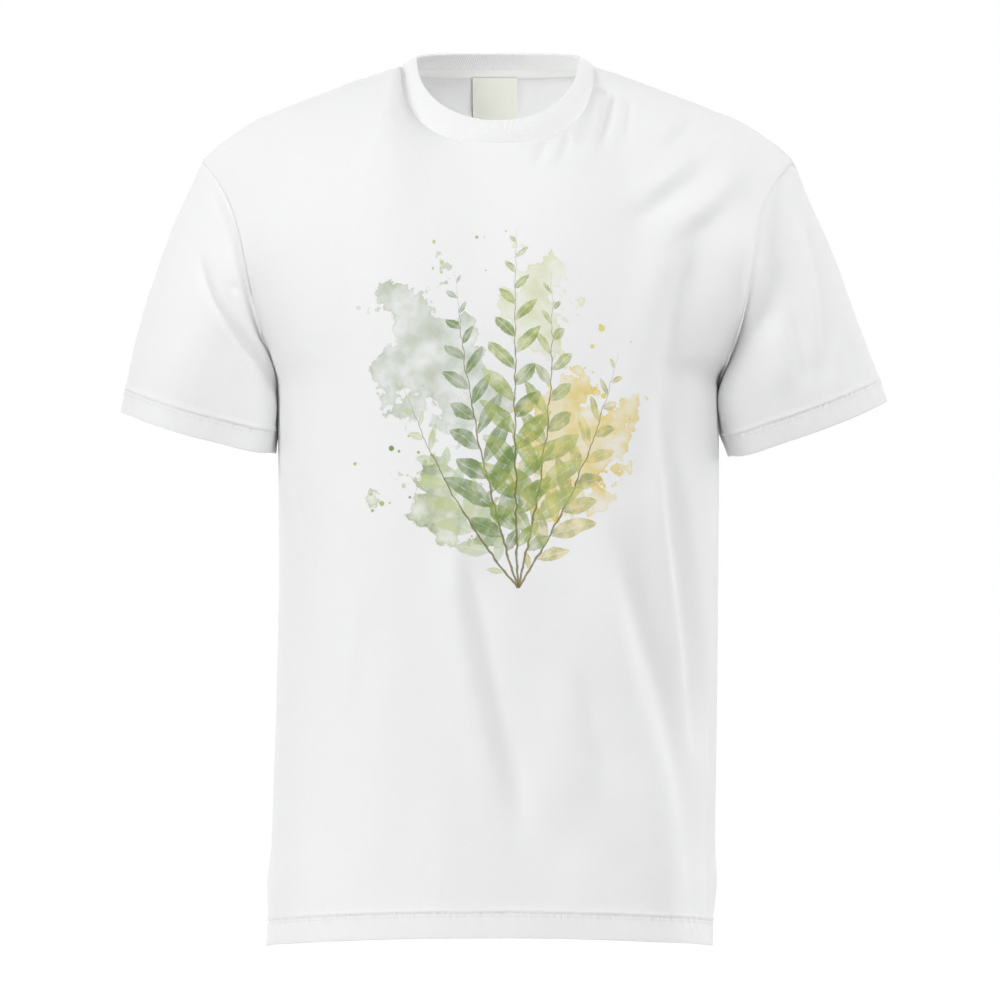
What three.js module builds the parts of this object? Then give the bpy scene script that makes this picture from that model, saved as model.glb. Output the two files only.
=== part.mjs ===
// A short-sleeve crew-neck T-shirt in the shape it takes when worn, in millimetres.
// +X is the viewer's right, the front faces -Y and +Z is up. The origin lies midway between the
// two high shoulder points, where the neckband meets the shoulder seams.
//
// Every piece of cloth is a sheet: a grid of points on its outer surface, given a wall on its
// inner side. Neighbouring sheets share the points of their seam.

import * as THREE from 'three';

// ---------------------------------------------------------------- driving dimensions

const jerseyWall = 1.0; // body and sleeves
const hemWall = 2.0; // a hem is turned up, so it is twice as thick
const ribWall = 2.0; // the neckband is a folded band of rib
const tapeWall = 1.0;
const labelWall = 0.8;
const seamGap = 0.22; // each piece stops this far short of its seam line
const layerGap = 0.6; // between cloth that lies on other cloth

const neck = { halfWidth: 85.6 }; // at the high shoulder points
const shoulder = { halfWidth: 261.5, slope: 0.375, roundFrom: 205, roundOff: 0.0055 };
const armpit = { halfWidth: 195, z: -280 };
const hem = { halfWidth: 197.5, z: -777, arch: 5, band: 22, sway: -7 };
const sideHollow = { left: 4, right: 0 };
const armhole = { flare: 36, topFlare: 30.5, topFlarePower: 5, depth: 58, roundness: 0.8 };

const front = {
  sign: -1, chestDepth: 146, hemDepth: 138, hemRise: 14,
  neckDepth: 88, neckZ: -73.6, neckSquareness: 2.5, bandSquareness: 2.1,
};
const back = {
  sign: 1, chestDepth: 134, hemDepth: 138, hemRise: 4,
  neckDepth: 75, neckZ: 3.3, neckSquareness: 2.2, bandSquareness: 2.6,
};
const body = { squareness: 2.35, shoulderRoundness: 1.7, chestPower: 2.2 };

const rib = {
  sideHalfWidth: 71, sideZ: 9, frontDepth: 80, frontZ: -53,
  backDepth: 62, backZ: 15.8, fullness: 1.2,
};
const sleeveHemBand = 20;
const mouthBow = 5; // how far a sleeve's hem drops between its outer and inner end
// A sleeve's outerFullness is the share of its fullness that its outer side has.
const sleeveLeft = {
  side: -1, outer: [333.4, -305], inner: [199, -342], halfDepth: 58, fullness: 9,
  outerFullness: 0.9,
};
const sleeveRight = {
  side: 1, outer: [344, -296], inner: [203.5, -345], halfDepth: 58, fullness: 9,
  outerFullness: 0.15,
};
const tape = { width: 8, below: 1.5 };
const label = { width: 38, length: 50, below: 10, standOff: 3.2 };

// Broad soft folds of the body, each a shallow valley between two [x, z] ends.
const frontFolds = [
  { from: [-34, -440], to: [30, -690], width: 24, depth: 6 },
  { from: [88, -410], to: [150, -640], width: 22, depth: 6 },
  { from: [140, -300], to: [180, -560], width: 16, depth: 5 },
  { from: [-176, -365], to: [-130, -590], width: 20, depth: 5 },
  { from: [186, -90], to: [112, -132], width: 13, depth: 4 },
];
const backFolds = [
  { from: [-90, -300], to: [-120, -700], width: 26, depth: 6 },
  { from: [20, -420], to: [60, -720], width: 24, depth: 6 },
  { from: [130, -330], to: [120, -640], width: 20, depth: 5 },
];

// A fold fades in and out over these shares of its length, and towards the panel's own edges.
const foldIn = [-0.15, 0.35];
const foldOut = [0.7, 1.15];
const foldCalm = { sidePower: 6, topFrom: 0.8 };

// How finely the sheets are divided.
const neckColumns = 7; // from the middle of the neck to a high shoulder point
const shoulderColumns = 9; // along a shoulder seam
const bodyRows = 20; // from the top of the hem band to the armpit
const armholeRows = 12; // from the armpit to the shoulder point
const sleeveRows = 9;
const ribRows = 3;
const halfColumns = neckColumns + shoulderColumns;
const neckShare = neckColumns / halfColumns;

// ---------------------------------------------------------------- curves and surfaces

const { lerp, smoothstep } = THREE.MathUtils;

/** 1 in the middle and 0 at the ends of a superellipse, for `a` from -1 to 1. */
function bow(a, squareness) {
  return Math.max(0, 1 - Math.abs(a) ** squareness) ** (1 / squareness);
}

/** Height of the shoulder seam, which falls steadily and then rounds off over the arm. */
function shoulderZ(x) {
  const past = Math.max(0, x - shoulder.roundFrom);
  return -shoulder.slope * (x - neck.halfWidth) - shoulder.roundOff * past ** 2;
}

/** A rounded U through both high shoulder points, for `turn` from -1 to 1. */
function neckCurve(turn, halfWidth, depth, sideZ, middleZ, squareness) {
  const angle = (turn * Math.PI) / 2;
  const across = Math.sin(angle);
  const along = Math.cos(angle);
  const reach = (Math.abs(across) ** squareness + along ** squareness) ** (-1 / squareness);
  const z = lerp(sideZ, middleZ, reach * along);
  return new THREE.Vector3(halfWidth * reach * across, depth * along, z);
}

/** The seam between one face of the body and the neckband. */
function neckSeam(face, turn) {
  const depth = face.sign * face.neckDepth;
  return neckCurve(turn, neck.halfWidth, depth, 0, face.neckZ, face.neckSquareness);
}

/** The folded top edge of the neckband over one face of the body. */
function neckTop(face, turn) {
  const depth = face === front ? -rib.frontDepth : rib.backDepth;
  const middleZ = face === front ? rib.frontZ : rib.backZ;
  return neckCurve(turn, rib.sideHalfWidth, depth, rib.sideZ, middleZ, face.bandSquareness);
}

/** The upper edge of a body panel: a shoulder seam, the neck seam and a shoulder seam. */
function topEdge(face, s) {
  if (Math.abs(s) <= neckShare) return neckSeam(face, s / neckShare);
  const along = (Math.abs(s) - neckShare) / (1 - neckShare);
  const x = lerp(neck.halfWidth, shoulder.halfWidth, along);
  return new THREE.Vector3(Math.sign(s) * x, 0, shoulderZ(x));
}

/** How far up the armhole an even step lies: finer near the armpit and the shoulder point. */
function riseAt(step) {
  return (1 - Math.cos(Math.PI * step)) / 2;
}

/** The armhole seam, for `rise` from 0 at the armpit to 1 at the shoulder point. */
function armholeSeam(sign, rise) {
  const flare = armhole.flare * rise + armhole.topFlare * rise ** armhole.topFlarePower;
  const x = armpit.halfWidth + flare;
  const y = sign * armhole.depth * Math.max(0, Math.sin(Math.PI * rise)) ** armhole.roundness;
  return new THREE.Vector3(x, y, lerp(armpit.z, shoulderZ(shoulder.halfWidth), rise));
}

/** How much of the chest's depth is left at a level from 0 at the armpits to 1 at the top. */
function shoulderFall(level, roundness) {
  return Math.max(0, 1 - level ** body.chestPower) ** (1 / roundness);
}

/** How deep the folds press the cloth in at one place. */
function foldDepth(folds, x, z) {
  const place = new THREE.Vector2(x, z);
  let depth = 0;
  for (const fold of folds) {
    const start = new THREE.Vector2(...fold.from);
    const run = new THREE.Vector2(...fold.to).sub(start);
    const share = place.clone().sub(start).dot(run) / run.lengthSq();
    const away = place.distanceTo(start.addScaledVector(run, THREE.MathUtils.clamp(share, 0, 1)));
    const fade = smoothstep(share, ...foldIn) * (1 - smoothstep(share, ...foldOut));
    depth += fold.depth * fade * Math.exp(-((away / fold.width) ** 2));
  }
  return depth;
}

/**
 * A point of the body: `s` runs from -1 to 1 across the panel, and `level` from -1 at the hem
 * through 0 at the armpits to 1 at the shoulder and neck seams.
 */
function bodyPoint(face, s, level) {
  const across = Math.sin((s * Math.PI) / 2);
  const swell = bow(across, body.squareness);
  const point = new THREE.Vector3();
  if (level <= 0) {
    const drop = -level;
    const hollow = lerp(sideHollow.left, sideHollow.right, (across + 1) / 2);
    const straight = lerp(armpit.halfWidth, hem.halfWidth, drop);
    const halfWidth = straight - hollow * Math.sin(Math.PI * drop);
    const depth = lerp(face.chestDepth, face.hemDepth, drop);
    const lowest = hem.z + face.hemRise * swell + hem.arch * (1 - across ** 2);
    point.set(
      across * halfWidth + hem.sway * drop ** 2,
      depth * swell,
      lerp(armpit.z, lowest, drop),
    );
  } else {
    const top = topEdge(face, s);
    const edge = armholeSeam(1, level);
    const round = lerp(1, body.shoulderRoundness, smoothstep(Math.abs(s), 0, neckShare));
    const depth = face.chestDepth * shoulderFall(level, round);
    const depthAtArm = face.chestDepth * shoulderFall(level, body.shoulderRoundness);
    const cut = level < 1 ? bow(edge.y / depthAtArm, body.squareness) : 1;
    const nearTop = level ** 2;
    point.set(
      edge.x * lerp(across, top.x / shoulder.halfWidth, nearTop),
      depth * bow(across * cut, body.squareness) + Math.abs(top.y) * nearTop,
      lerp(armpit.z, top.z, level),
    );
  }
  const folds = face === front ? frontFolds : backFolds;
  const calmSide = 1 - Math.abs(across) ** foldCalm.sidePower;
  const calm = calmSide * (1 - smoothstep(level, foldCalm.topFrom, 1));
  point.y = face.sign * (point.y - calm * foldDepth(folds, point.x, point.z));
  return point;
}

/**
 * A point of a sleeve: `turn` runs from 0 at the shoulder down the front to 1 at the armpit and
 * up the back to 2, and `along` from 0 at the armhole to 1 at the sleeve's hem.
 */
function sleevePoint(sleeve, turn, along) {
  const start = armholeSeam(turn <= 1 ? -1 : 1, riseAt(Math.abs(1 - turn)));
  const outer = new THREE.Vector3(sleeve.outer[0], 0, sleeve.outer[1]);
  const inner = new THREE.Vector3(sleeve.inner[0], 0, sleeve.inner[1]);
  const middle = outer.clone().lerp(inner, 0.5);
  const angle = turn * Math.PI;
  const arm = outer.sub(middle).multiplyScalar(Math.cos(angle));
  arm.y = -sleeve.halfDepth * Math.sin(angle);
  const end = middle.add(arm);
  end.z -= mouthBow * Math.sin(angle) ** 2;
  const full = Math.abs(Math.sin(angle)) + sleeve.outerFullness * Math.max(0, Math.cos(angle));
  const point = start.lerp(end, along);
  point.addScaledVector(arm.normalize(), sleeve.fullness * full * Math.sin(Math.PI * along));
  point.x *= sleeve.side;
  return point;
}

/** A point of the neckband, for `turn` round the neck from the front and `up` from 0 to 1. */
function ribPoint(turn, up) {
  const face = Math.abs(turn) <= 1 ? front : back;
  const within = face === front ? turn : Math.sign(turn) * (2 - Math.abs(turn));
  const seam = neckSeam(face, within);
  const point = seam.clone().lerp(neckTop(face, within), up);
  const outward = new THREE.Vector3(seam.x, seam.y, 0).normalize();
  return point.addScaledVector(outward, rib.fullness * Math.sin(Math.PI * up));
}

/** A point inside the back neck, `down` millimetres below the neck seam. */
function insideBackNeck(s, down, inset) {
  const wellBelow = 0.85; // a level low enough to give the slope of the cloth
  const seam = bodyPoint(back, s, 1);
  const below = bodyPoint(back, s, wellBelow);
  const run = below.sub(seam).normalize();
  const inward = new THREE.Vector3(-seam.x, -seam.y, 0).normalize();
  inward.addScaledVector(run, -inward.dot(run)).normalize();
  return seam.addScaledVector(run, down).addScaledVector(inward, inset);
}

// ---------------------------------------------------------------- sheets and solids

/** Numbers from `first` to `last` in equal steps. */
function steps(first, last, count) {
  return Array.from({ length: count + 1 }, (_, i) => lerp(first, last, i / count));
}

/**
 * The grid of a sheet. `columns` and `rows` are lists of surface parameters, `wraps` closes the
 * columns into a tube, and `flip` turns the outer side over.
 */
function makeSheet({ columns, rows, wraps = false, flip = false, pointAt, wallAt }) {
  const points = rows.map((row) => columns.map((column) => pointAt(column, row)));
  const walls = rows.map((row) => columns.map((column) => wallAt(column, row)));
  const wide = columns.length;
  const high = rows.length;
  const beside = (i) => (wraps ? (i + wide) % wide : THREE.MathUtils.clamp(i, 0, wide - 1));
  const above = (j) => THREE.MathUtils.clamp(j, 0, high - 1);
  const normals = points.map((line, j) => line.map((_, i) => {
    const across = line[beside(i + 1)].clone().sub(line[beside(i - 1)]);
    const along = points[above(j + 1)][i].clone().sub(points[above(j - 1)][i]);
    return across.cross(along).normalize().multiplyScalar(flip ? -1 : 1);
  }));
  return { points, normals, walls, wide, high, wraps, flip, beside, above };
}

/** True for the points on an open edge of a sheet. */
function onRim(sheet, i, j) {
  return j === 0 || j === sheet.high - 1 || (!sheet.wraps && (i === 0 || i === sheet.wide - 1));
}

/** Where sheets meet at an open angle, their walls share one direction, so they don't cross. */
function mitreSeams(sheets) {
  const openAngle = -0.4; // cosine of the angle between outward sides that still share a mitre
  const steepest = 0.6; // limits how far a mitre is lengthened to keep the wall's thickness
  const grain = 20; // points closer than a twentieth of a millimetre are one point
  const offCell = 0.3; // keeps round coordinates away from the edge of a cell
  const meeting = new Map();
  const keyOf = (point) => point.toArray().map((v) => Math.round(v * grain + offCell)).join();
  const eachRim = (visit) => {
    for (const sheet of sheets) {
      for (let j = 0; j < sheet.high; j += 1) {
        for (let i = 0; i < sheet.wide; i += 1) if (onRim(sheet, i, j)) visit(sheet, i, j);
      }
    }
  };
  eachRim((sheet, i, j) => {
    const key = keyOf(sheet.points[j][i]);
    meeting.set(key, [...(meeting.get(key) ?? []), sheet.normals[j][i].clone()]);
  });
  eachRim((sheet, i, j) => {
    const own = sheet.normals[j][i].clone();
    const shared = new THREE.Vector3();
    for (const other of meeting.get(keyOf(sheet.points[j][i]))) {
      if (own.dot(other) > openAngle) shared.add(other);
    }
    const slant = Math.max(steepest, own.dot(shared.normalize()));
    sheet.normals[j][i].copy(shared.divideScalar(slant));
  });
}

/** The closed solid of a sheet: its outer side, its inner side and the rims between them. */
function shellOf(sheet) {
  const { points, normals, walls, wide, high, wraps, flip, beside, above } = sheet;
  const outer = [];
  const inner = [];
  for (let j = 0; j < high; j += 1) {
    for (let i = 0; i < wide; i += 1) {
      const point = points[j][i].clone();
      const inwards = [];
      if (j === 0 || j === high - 1) inwards.push(points[above(j === 0 ? 1 : high - 2)][i]);
      if (!wraps && i === 0) inwards.push(points[j][beside(1)]);
      if (!wraps && i === wide - 1) inwards.push(points[j][wide - 2]);
      for (const neighbour of inwards) {
        point.addScaledVector(neighbour.clone().sub(points[j][i]).normalize(), seamGap);
      }
      outer.push(point);
      inner.push(point.clone().addScaledVector(normals[j][i], -walls[j][i]));
    }
  }
  const corners = [...outer, ...inner];
  const index = [];
  const count = wide * high;
  const at = (i, j) => j * wide + beside(i);
  const quad = (a, b, c, d) => {
    if (flip) index.push(a, c, b, a, d, c);
    else index.push(a, b, c, a, c, d);
  };
  // Both sheets at a seam split its twisted rim along the same, shorter diagonal.
  const rim = (a, b, c, d) => {
    if (corners[a].distanceTo(corners[c]) <= corners[b].distanceTo(corners[d])) quad(a, b, c, d);
    else quad(b, c, d, a);
  };
  const across = wraps ? wide : wide - 1;
  for (let j = 0; j < high - 1; j += 1) {
    for (let i = 0; i < across; i += 1) {
      const [a, b, c, d] = [at(i, j), at(i + 1, j), at(i + 1, j + 1), at(i, j + 1)];
      quad(a, b, c, d);
      quad(count + a, count + d, count + c, count + b);
    }
  }
  for (let i = 0; i < across; i += 1) {
    rim(at(i + 1, 0), at(i, 0), count + at(i, 0), count + at(i + 1, 0));
    const [a, b] = [at(i, high - 1), at(i + 1, high - 1)];
    rim(a, b, count + b, count + a);
  }
  for (let j = 0; !wraps && j < high - 1; j += 1) {
    rim(at(0, j), at(0, j + 1), count + at(0, j + 1), count + at(0, j));
    const [a, b] = [at(wide - 1, j), at(wide - 1, j + 1)];
    rim(b, a, count + a, count + b);
  }
  const geometry = new THREE.BufferGeometry();
  geometry.setFromPoints(corners);
  geometry.setIndex(index);
  geometry.computeVertexNormals();
  return geometry;
}

// ---------------------------------------------------------------- the pieces

const bodyLength = armpit.z - hem.z;
const bandTop = -1 + hem.band / bodyLength;
const bandStep = 1 / bodyLength; // the hem's inner ledge is one millimetre high

/** The grid of the front or the back of the body. */
function bodySheet(face) {
  const upper = steps(0, 1, armholeRows).slice(1).map(riseAt);
  const rows = [-1, ...steps(bandTop, 0, bodyRows), ...upper];
  rows.splice(2, 0, bandTop + bandStep);
  return makeSheet({
    columns: steps(-1, 1, 2 * halfColumns),
    rows,
    flip: face === back,
    pointAt: (s, level) => bodyPoint(face, s, level),
    wallAt: (s, level) => (level <= bandTop + bandStep / 2 ? hemWall : jerseyWall),
  });
}

/** The grid of one sleeve, from the armhole to the end of its hem. */
function sleeveSheet(sleeve) {
  const length = Math.hypot(
    sleeve.outer[0] - shoulder.halfWidth,
    sleeve.outer[1] - shoulderZ(shoulder.halfWidth),
  );
  const bandStart = 1 - sleeveHemBand / length;
  const ledge = bandStart - 1 / length; // one millimetre, as on the body
  return makeSheet({
    columns: steps(0, 2, 2 * armholeRows).slice(0, -1),
    rows: [...steps(0, ledge, sleeveRows), bandStart, 1],
    wraps: true,
    flip: sleeve.side < 0,
    pointAt: (turn, along) => sleevePoint(sleeve, turn, along),
    wallAt: (turn, along) => (along >= bandStart ? hemWall : jerseyWall),
  });
}

/** The grid of the neckband, a ring from the neck seam up to its folded edge. */
function neckbandSheet() {
  return makeSheet({
    columns: steps(-2, 2, 4 * neckColumns).slice(0, -1),
    rows: steps(0, 1, ribRows),
    wraps: true,
    pointAt: ribPoint,
    wallAt: () => ribWall,
  });
}

/** The grid of the tape that covers the back neck seam from inside. */
function tapeSheet() {
  const inset = jerseyWall + layerGap;
  const step = 1 / halfColumns;
  const inner = neckShare - step; // the tape ends just short of the shoulder seams
  const ends = inner + 0.3 * step;
  return makeSheet({
    columns: [-ends, ...steps(-inner, inner, 2 * neckColumns - 2), ends],
    rows: [tape.below + tape.width, tape.below],
    flip: true,
    pointAt: (s, down) => insideBackNeck(s, down, inset),
    wallAt: () => tapeWall,
  });
}

/** The grid of the label, which hangs inside the middle of the back neck. */
function labelSheet() {
  return makeSheet({
    columns: steps(-label.width / 2, label.width / 2, 4),
    rows: steps(label.below + label.length, label.below, 3),
    flip: true,
    pointAt: (x, down) => {
      const point = insideBackNeck(0, down, jerseyWall + label.standOff);
      point.x = x;
      point.y -= x ** 2 / (2 * neck.halfWidth);
      return point;
    },
    wallAt: () => labelWall,
  });
}

/** Cloth with the given colour and finish. */
function cloth(color, roughness) {
  return new THREE.MeshStandardMaterial({ color, roughness, metalness: 0 });
}

const jersey = () => cloth(0xf3f3f1, 0.92);
const pieces = {
  front_panel: { sheet: bodySheet(front), material: jersey() },
  back_panel: { sheet: bodySheet(back), material: jersey() },
  sleeve_left: { sheet: sleeveSheet(sleeveLeft), material: jersey() },
  sleeve_right: { sheet: sleeveSheet(sleeveRight), material: jersey() },
  neckband: { sheet: neckbandSheet(), material: cloth(0xf4f4f2, 0.9) },
  neck_tape: { sheet: tapeSheet(), material: cloth(0xf0f0ec, 0.85) },
  neck_label: { sheet: labelSheet(), material: cloth(0xe9ebdf, 0.7) },
};
mitreSeams(Object.values(pieces).map((piece) => piece.sheet));

const shirt = new THREE.Group();
for (const [name, piece] of Object.entries(pieces)) {
  const mesh = new THREE.Mesh(shellOf(piece.sheet), piece.material);
  mesh.name = name;
  shirt.add(mesh);
}

export default shirt;
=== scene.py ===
"""A white short-sleeve crew-neck T-shirt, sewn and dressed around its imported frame.

Lengths are in metres. +X is the viewer's right, the front faces -Y and +Z is up. The origin lies
midway between the two high shoulder points. Each piece of cloth is a grid primitive whose points
are moved onto the shirt's form, creased, and given a wall.
"""

import logging
import math
from dataclasses import dataclass, field, replace
from enum import Enum
from typing import Callable, Iterable, Sequence

import bpy
import numpy as np
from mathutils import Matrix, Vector


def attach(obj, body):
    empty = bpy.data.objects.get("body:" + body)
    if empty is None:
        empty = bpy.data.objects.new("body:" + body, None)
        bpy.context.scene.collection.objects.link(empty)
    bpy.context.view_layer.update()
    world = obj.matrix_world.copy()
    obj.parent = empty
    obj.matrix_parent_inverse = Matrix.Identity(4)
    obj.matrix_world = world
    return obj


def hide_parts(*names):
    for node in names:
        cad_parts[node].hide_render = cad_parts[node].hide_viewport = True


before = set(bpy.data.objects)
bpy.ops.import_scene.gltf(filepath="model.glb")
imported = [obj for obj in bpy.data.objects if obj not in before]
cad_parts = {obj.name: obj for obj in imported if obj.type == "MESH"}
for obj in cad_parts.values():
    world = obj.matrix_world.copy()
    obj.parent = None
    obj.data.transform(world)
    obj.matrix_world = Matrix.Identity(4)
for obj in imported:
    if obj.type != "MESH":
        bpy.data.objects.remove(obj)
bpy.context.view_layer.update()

log = logging.getLogger("t_shirt")

Colour = tuple[float, float, float]
Place = tuple[float, float]
Spot = tuple[float, float, float]

BODY = "root"
FLAT_MAP = "flat_pattern"


# -------------- small curves


def bow(across: np.ndarray, squareness: float | np.ndarray) -> np.ndarray:
    """Returns 1 in the middle and 0 at the ends of a superellipse, for across from -1 to 1."""
    return np.maximum(0, 1 - np.abs(across) ** squareness) ** (1 / squareness)


def blend(low: np.ndarray, high: np.ndarray, share: np.ndarray) -> np.ndarray:
    """Returns low where share is 0, high where it is 1, and what lies between."""
    return low + (high - low) * share


def smooth(value: np.ndarray, low: float, high: float) -> np.ndarray:
    """Returns 0 below low, 1 above high, and an S-shaped rise between them."""
    share = np.clip((value - low) / (high - low), 0, 1)
    return share * share * (3 - 2 * share)


def hill(value: np.ndarray, width: float | np.ndarray) -> np.ndarray:
    """Returns a round hill, 1 at zero and fading within about twice its width."""
    return np.exp(-((value / width) ** 2))


def unit(vectors: np.ndarray) -> np.ndarray:
    """Returns the vectors of the last axis at length 1."""
    return vectors / np.maximum(np.linalg.norm(vectors, axis=-1, keepdims=True), 1e-12)


def stack(x: np.ndarray, y: np.ndarray, z: np.ndarray) -> np.ndarray:
    """Returns points whose coordinates are the three arrays."""
    return np.stack(np.broadcast_arrays(x, y, z), axis=-1).astype(float)


def edged(first: float, last: float, count: int, fine: Sequence[float]) -> np.ndarray:
    """Even steps with finer ones beside both ends.

    Args:
        first: The first value.
        last: The last value.
        count: How many even steps lie between.
        fine: Distances of the finer steps from an end, growing.

    Returns:
        The values from first to last, growing.
    """
    inner = np.linspace(first, last, count + 1)[1:-1]
    near = np.array(fine)
    clear = near[-1] * 1.4
    inner = inner[(inner > first + clear) & (inner < last - clear)]
    return np.concatenate([[first], first + near, inner, last - near[::-1], [last]])


# -------------- the shirt's form


class Face(Enum):
    """The two faces of the body; the value is the sign of y there."""

    FRONT = -1
    BACK = 1


@dataclass(frozen=True)
class PanelCut:
    """What differs between the front and the back of the body.

    Attributes:
        hem_rise: How much higher the hem is in the middle than at the sides.
        neck_squareness: How full the corners of the neck seam are; the band's are alike.
        top_calm: How far below the top edge the folds have their full height.
        overhang: How far the cloth beside the left and the right armhole rolls out.
    """

    face: Face
    chest_depth: float
    hem_depth: float
    hem_rise: float
    neck_depth: float
    neck_z: float
    neck_squareness: float
    band_depth: float
    band_z: float
    band_squareness: float
    top_calm: float
    overhang: Place


@dataclass(frozen=True)
class SleeveCut:
    """One sleeve.

    Attributes:
        side: The sign of x there.
        outer: The outer end of its mouth in x and z, seen from the front.
        inner: The inner end.
        outer_fullness: How full its outer edge is, as a share of the front's.
        inner_fullness: How full its inner edge is, as a share of the front's.
        bulge: How far the cloth beside the front of the armhole stands forward, and how far
            along the sleeve it falls back.
        half_depth: Half the depth of its mouth.
        fullness: How far it swells out between the armhole and the mouth.
        mouth_bow: How far the middle of the mouth's front hangs below its ends.
    """

    side: int
    outer: Place
    inner: Place
    outer_fullness: float
    inner_fullness: float
    bulge: Place
    half_depth: float = 0.058
    fullness: float = 0.009
    mouth_bow: float = 0.005


FRONT = PanelCut(
    Face.FRONT, chest_depth=0.146, hem_depth=0.138, hem_rise=0.014,
    neck_depth=0.088, neck_z=-0.0736, neck_squareness=2.5,
    band_depth=0.080, band_z=-0.053, band_squareness=2.1,
    top_calm=0.009, overhang=(0.0003, 0.0010),
)
BACK = PanelCut(
    Face.BACK, chest_depth=0.134, hem_depth=0.138, hem_rise=0.004,
    neck_depth=0.075, neck_z=0.0056, neck_squareness=2.2,
    band_depth=0.062, band_z=0.0184, band_squareness=2.6,
    top_calm=0.02, overhang=(0.00015, 0.0005),
)
SLEEVE_LEFT = SleeveCut(
    -1, outer=(0.3334, -0.305), inner=(0.1958, -0.342),
    outer_fullness=0.9, inner_fullness=0.06, bulge=(0.015, 0.020),
)
SLEEVE_RIGHT = SleeveCut(
    1, outer=(0.344, -0.296), inner=(0.2035, -0.345),
    outer_fullness=0.15, inner_fullness=0.42, bulge=(0.026, 0.015),
)


@dataclass(frozen=True)
class ArmholeBulge:
    """How the cloth beside the front of an armhole stands forward.

    Heights are shares of the armhole, 0 at the armpit and 1 at the shoulder.

    Attributes:
        full_from: The height where it has reached its full size.
        fading: The heights where it starts to fade and where it is gone.
        swell: How much further it stands out about the height swell_at, as a share.
        outward: Its share outwards, which is full from the height outward_from.
        forward: Its share forwards.
        reach: How far it spreads over the body.
    """

    full_from: float = 0.09
    fading: Place = (0.45, 0.95)
    swell: float = 0.3
    swell_at: float = 0.2
    swell_width: float = 0.15
    outward: float = 0.3
    outward_from: float = 0.5
    forward: float = 0.95
    reach: float = 0.13
    falloff: float = 1.6

    def at(self, cut: SleeveCut, rise: np.ndarray) -> np.ndarray:
        """Returns how points of an armhole's front move, at these heights."""
        alive = smooth(rise, 0.0, self.full_from) * (1 - smooth(rise, *self.fading))
        alive = alive * (1 + self.swell * hill(rise - self.swell_at, self.swell_width))
        outward = self.outward * cut.side * smooth(rise, 0.0, self.outward_from)
        return stack(outward, -self.forward, 0) * (cut.bulge[0] * alive)[..., None]

    def on_body(self, distance: np.ndarray) -> np.ndarray:
        """Returns the share that is left on the body at a distance from the armhole."""
        return (1 - np.clip(distance / self.reach, 0, 1)) ** self.falloff


BULGE = ArmholeBulge()


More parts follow.
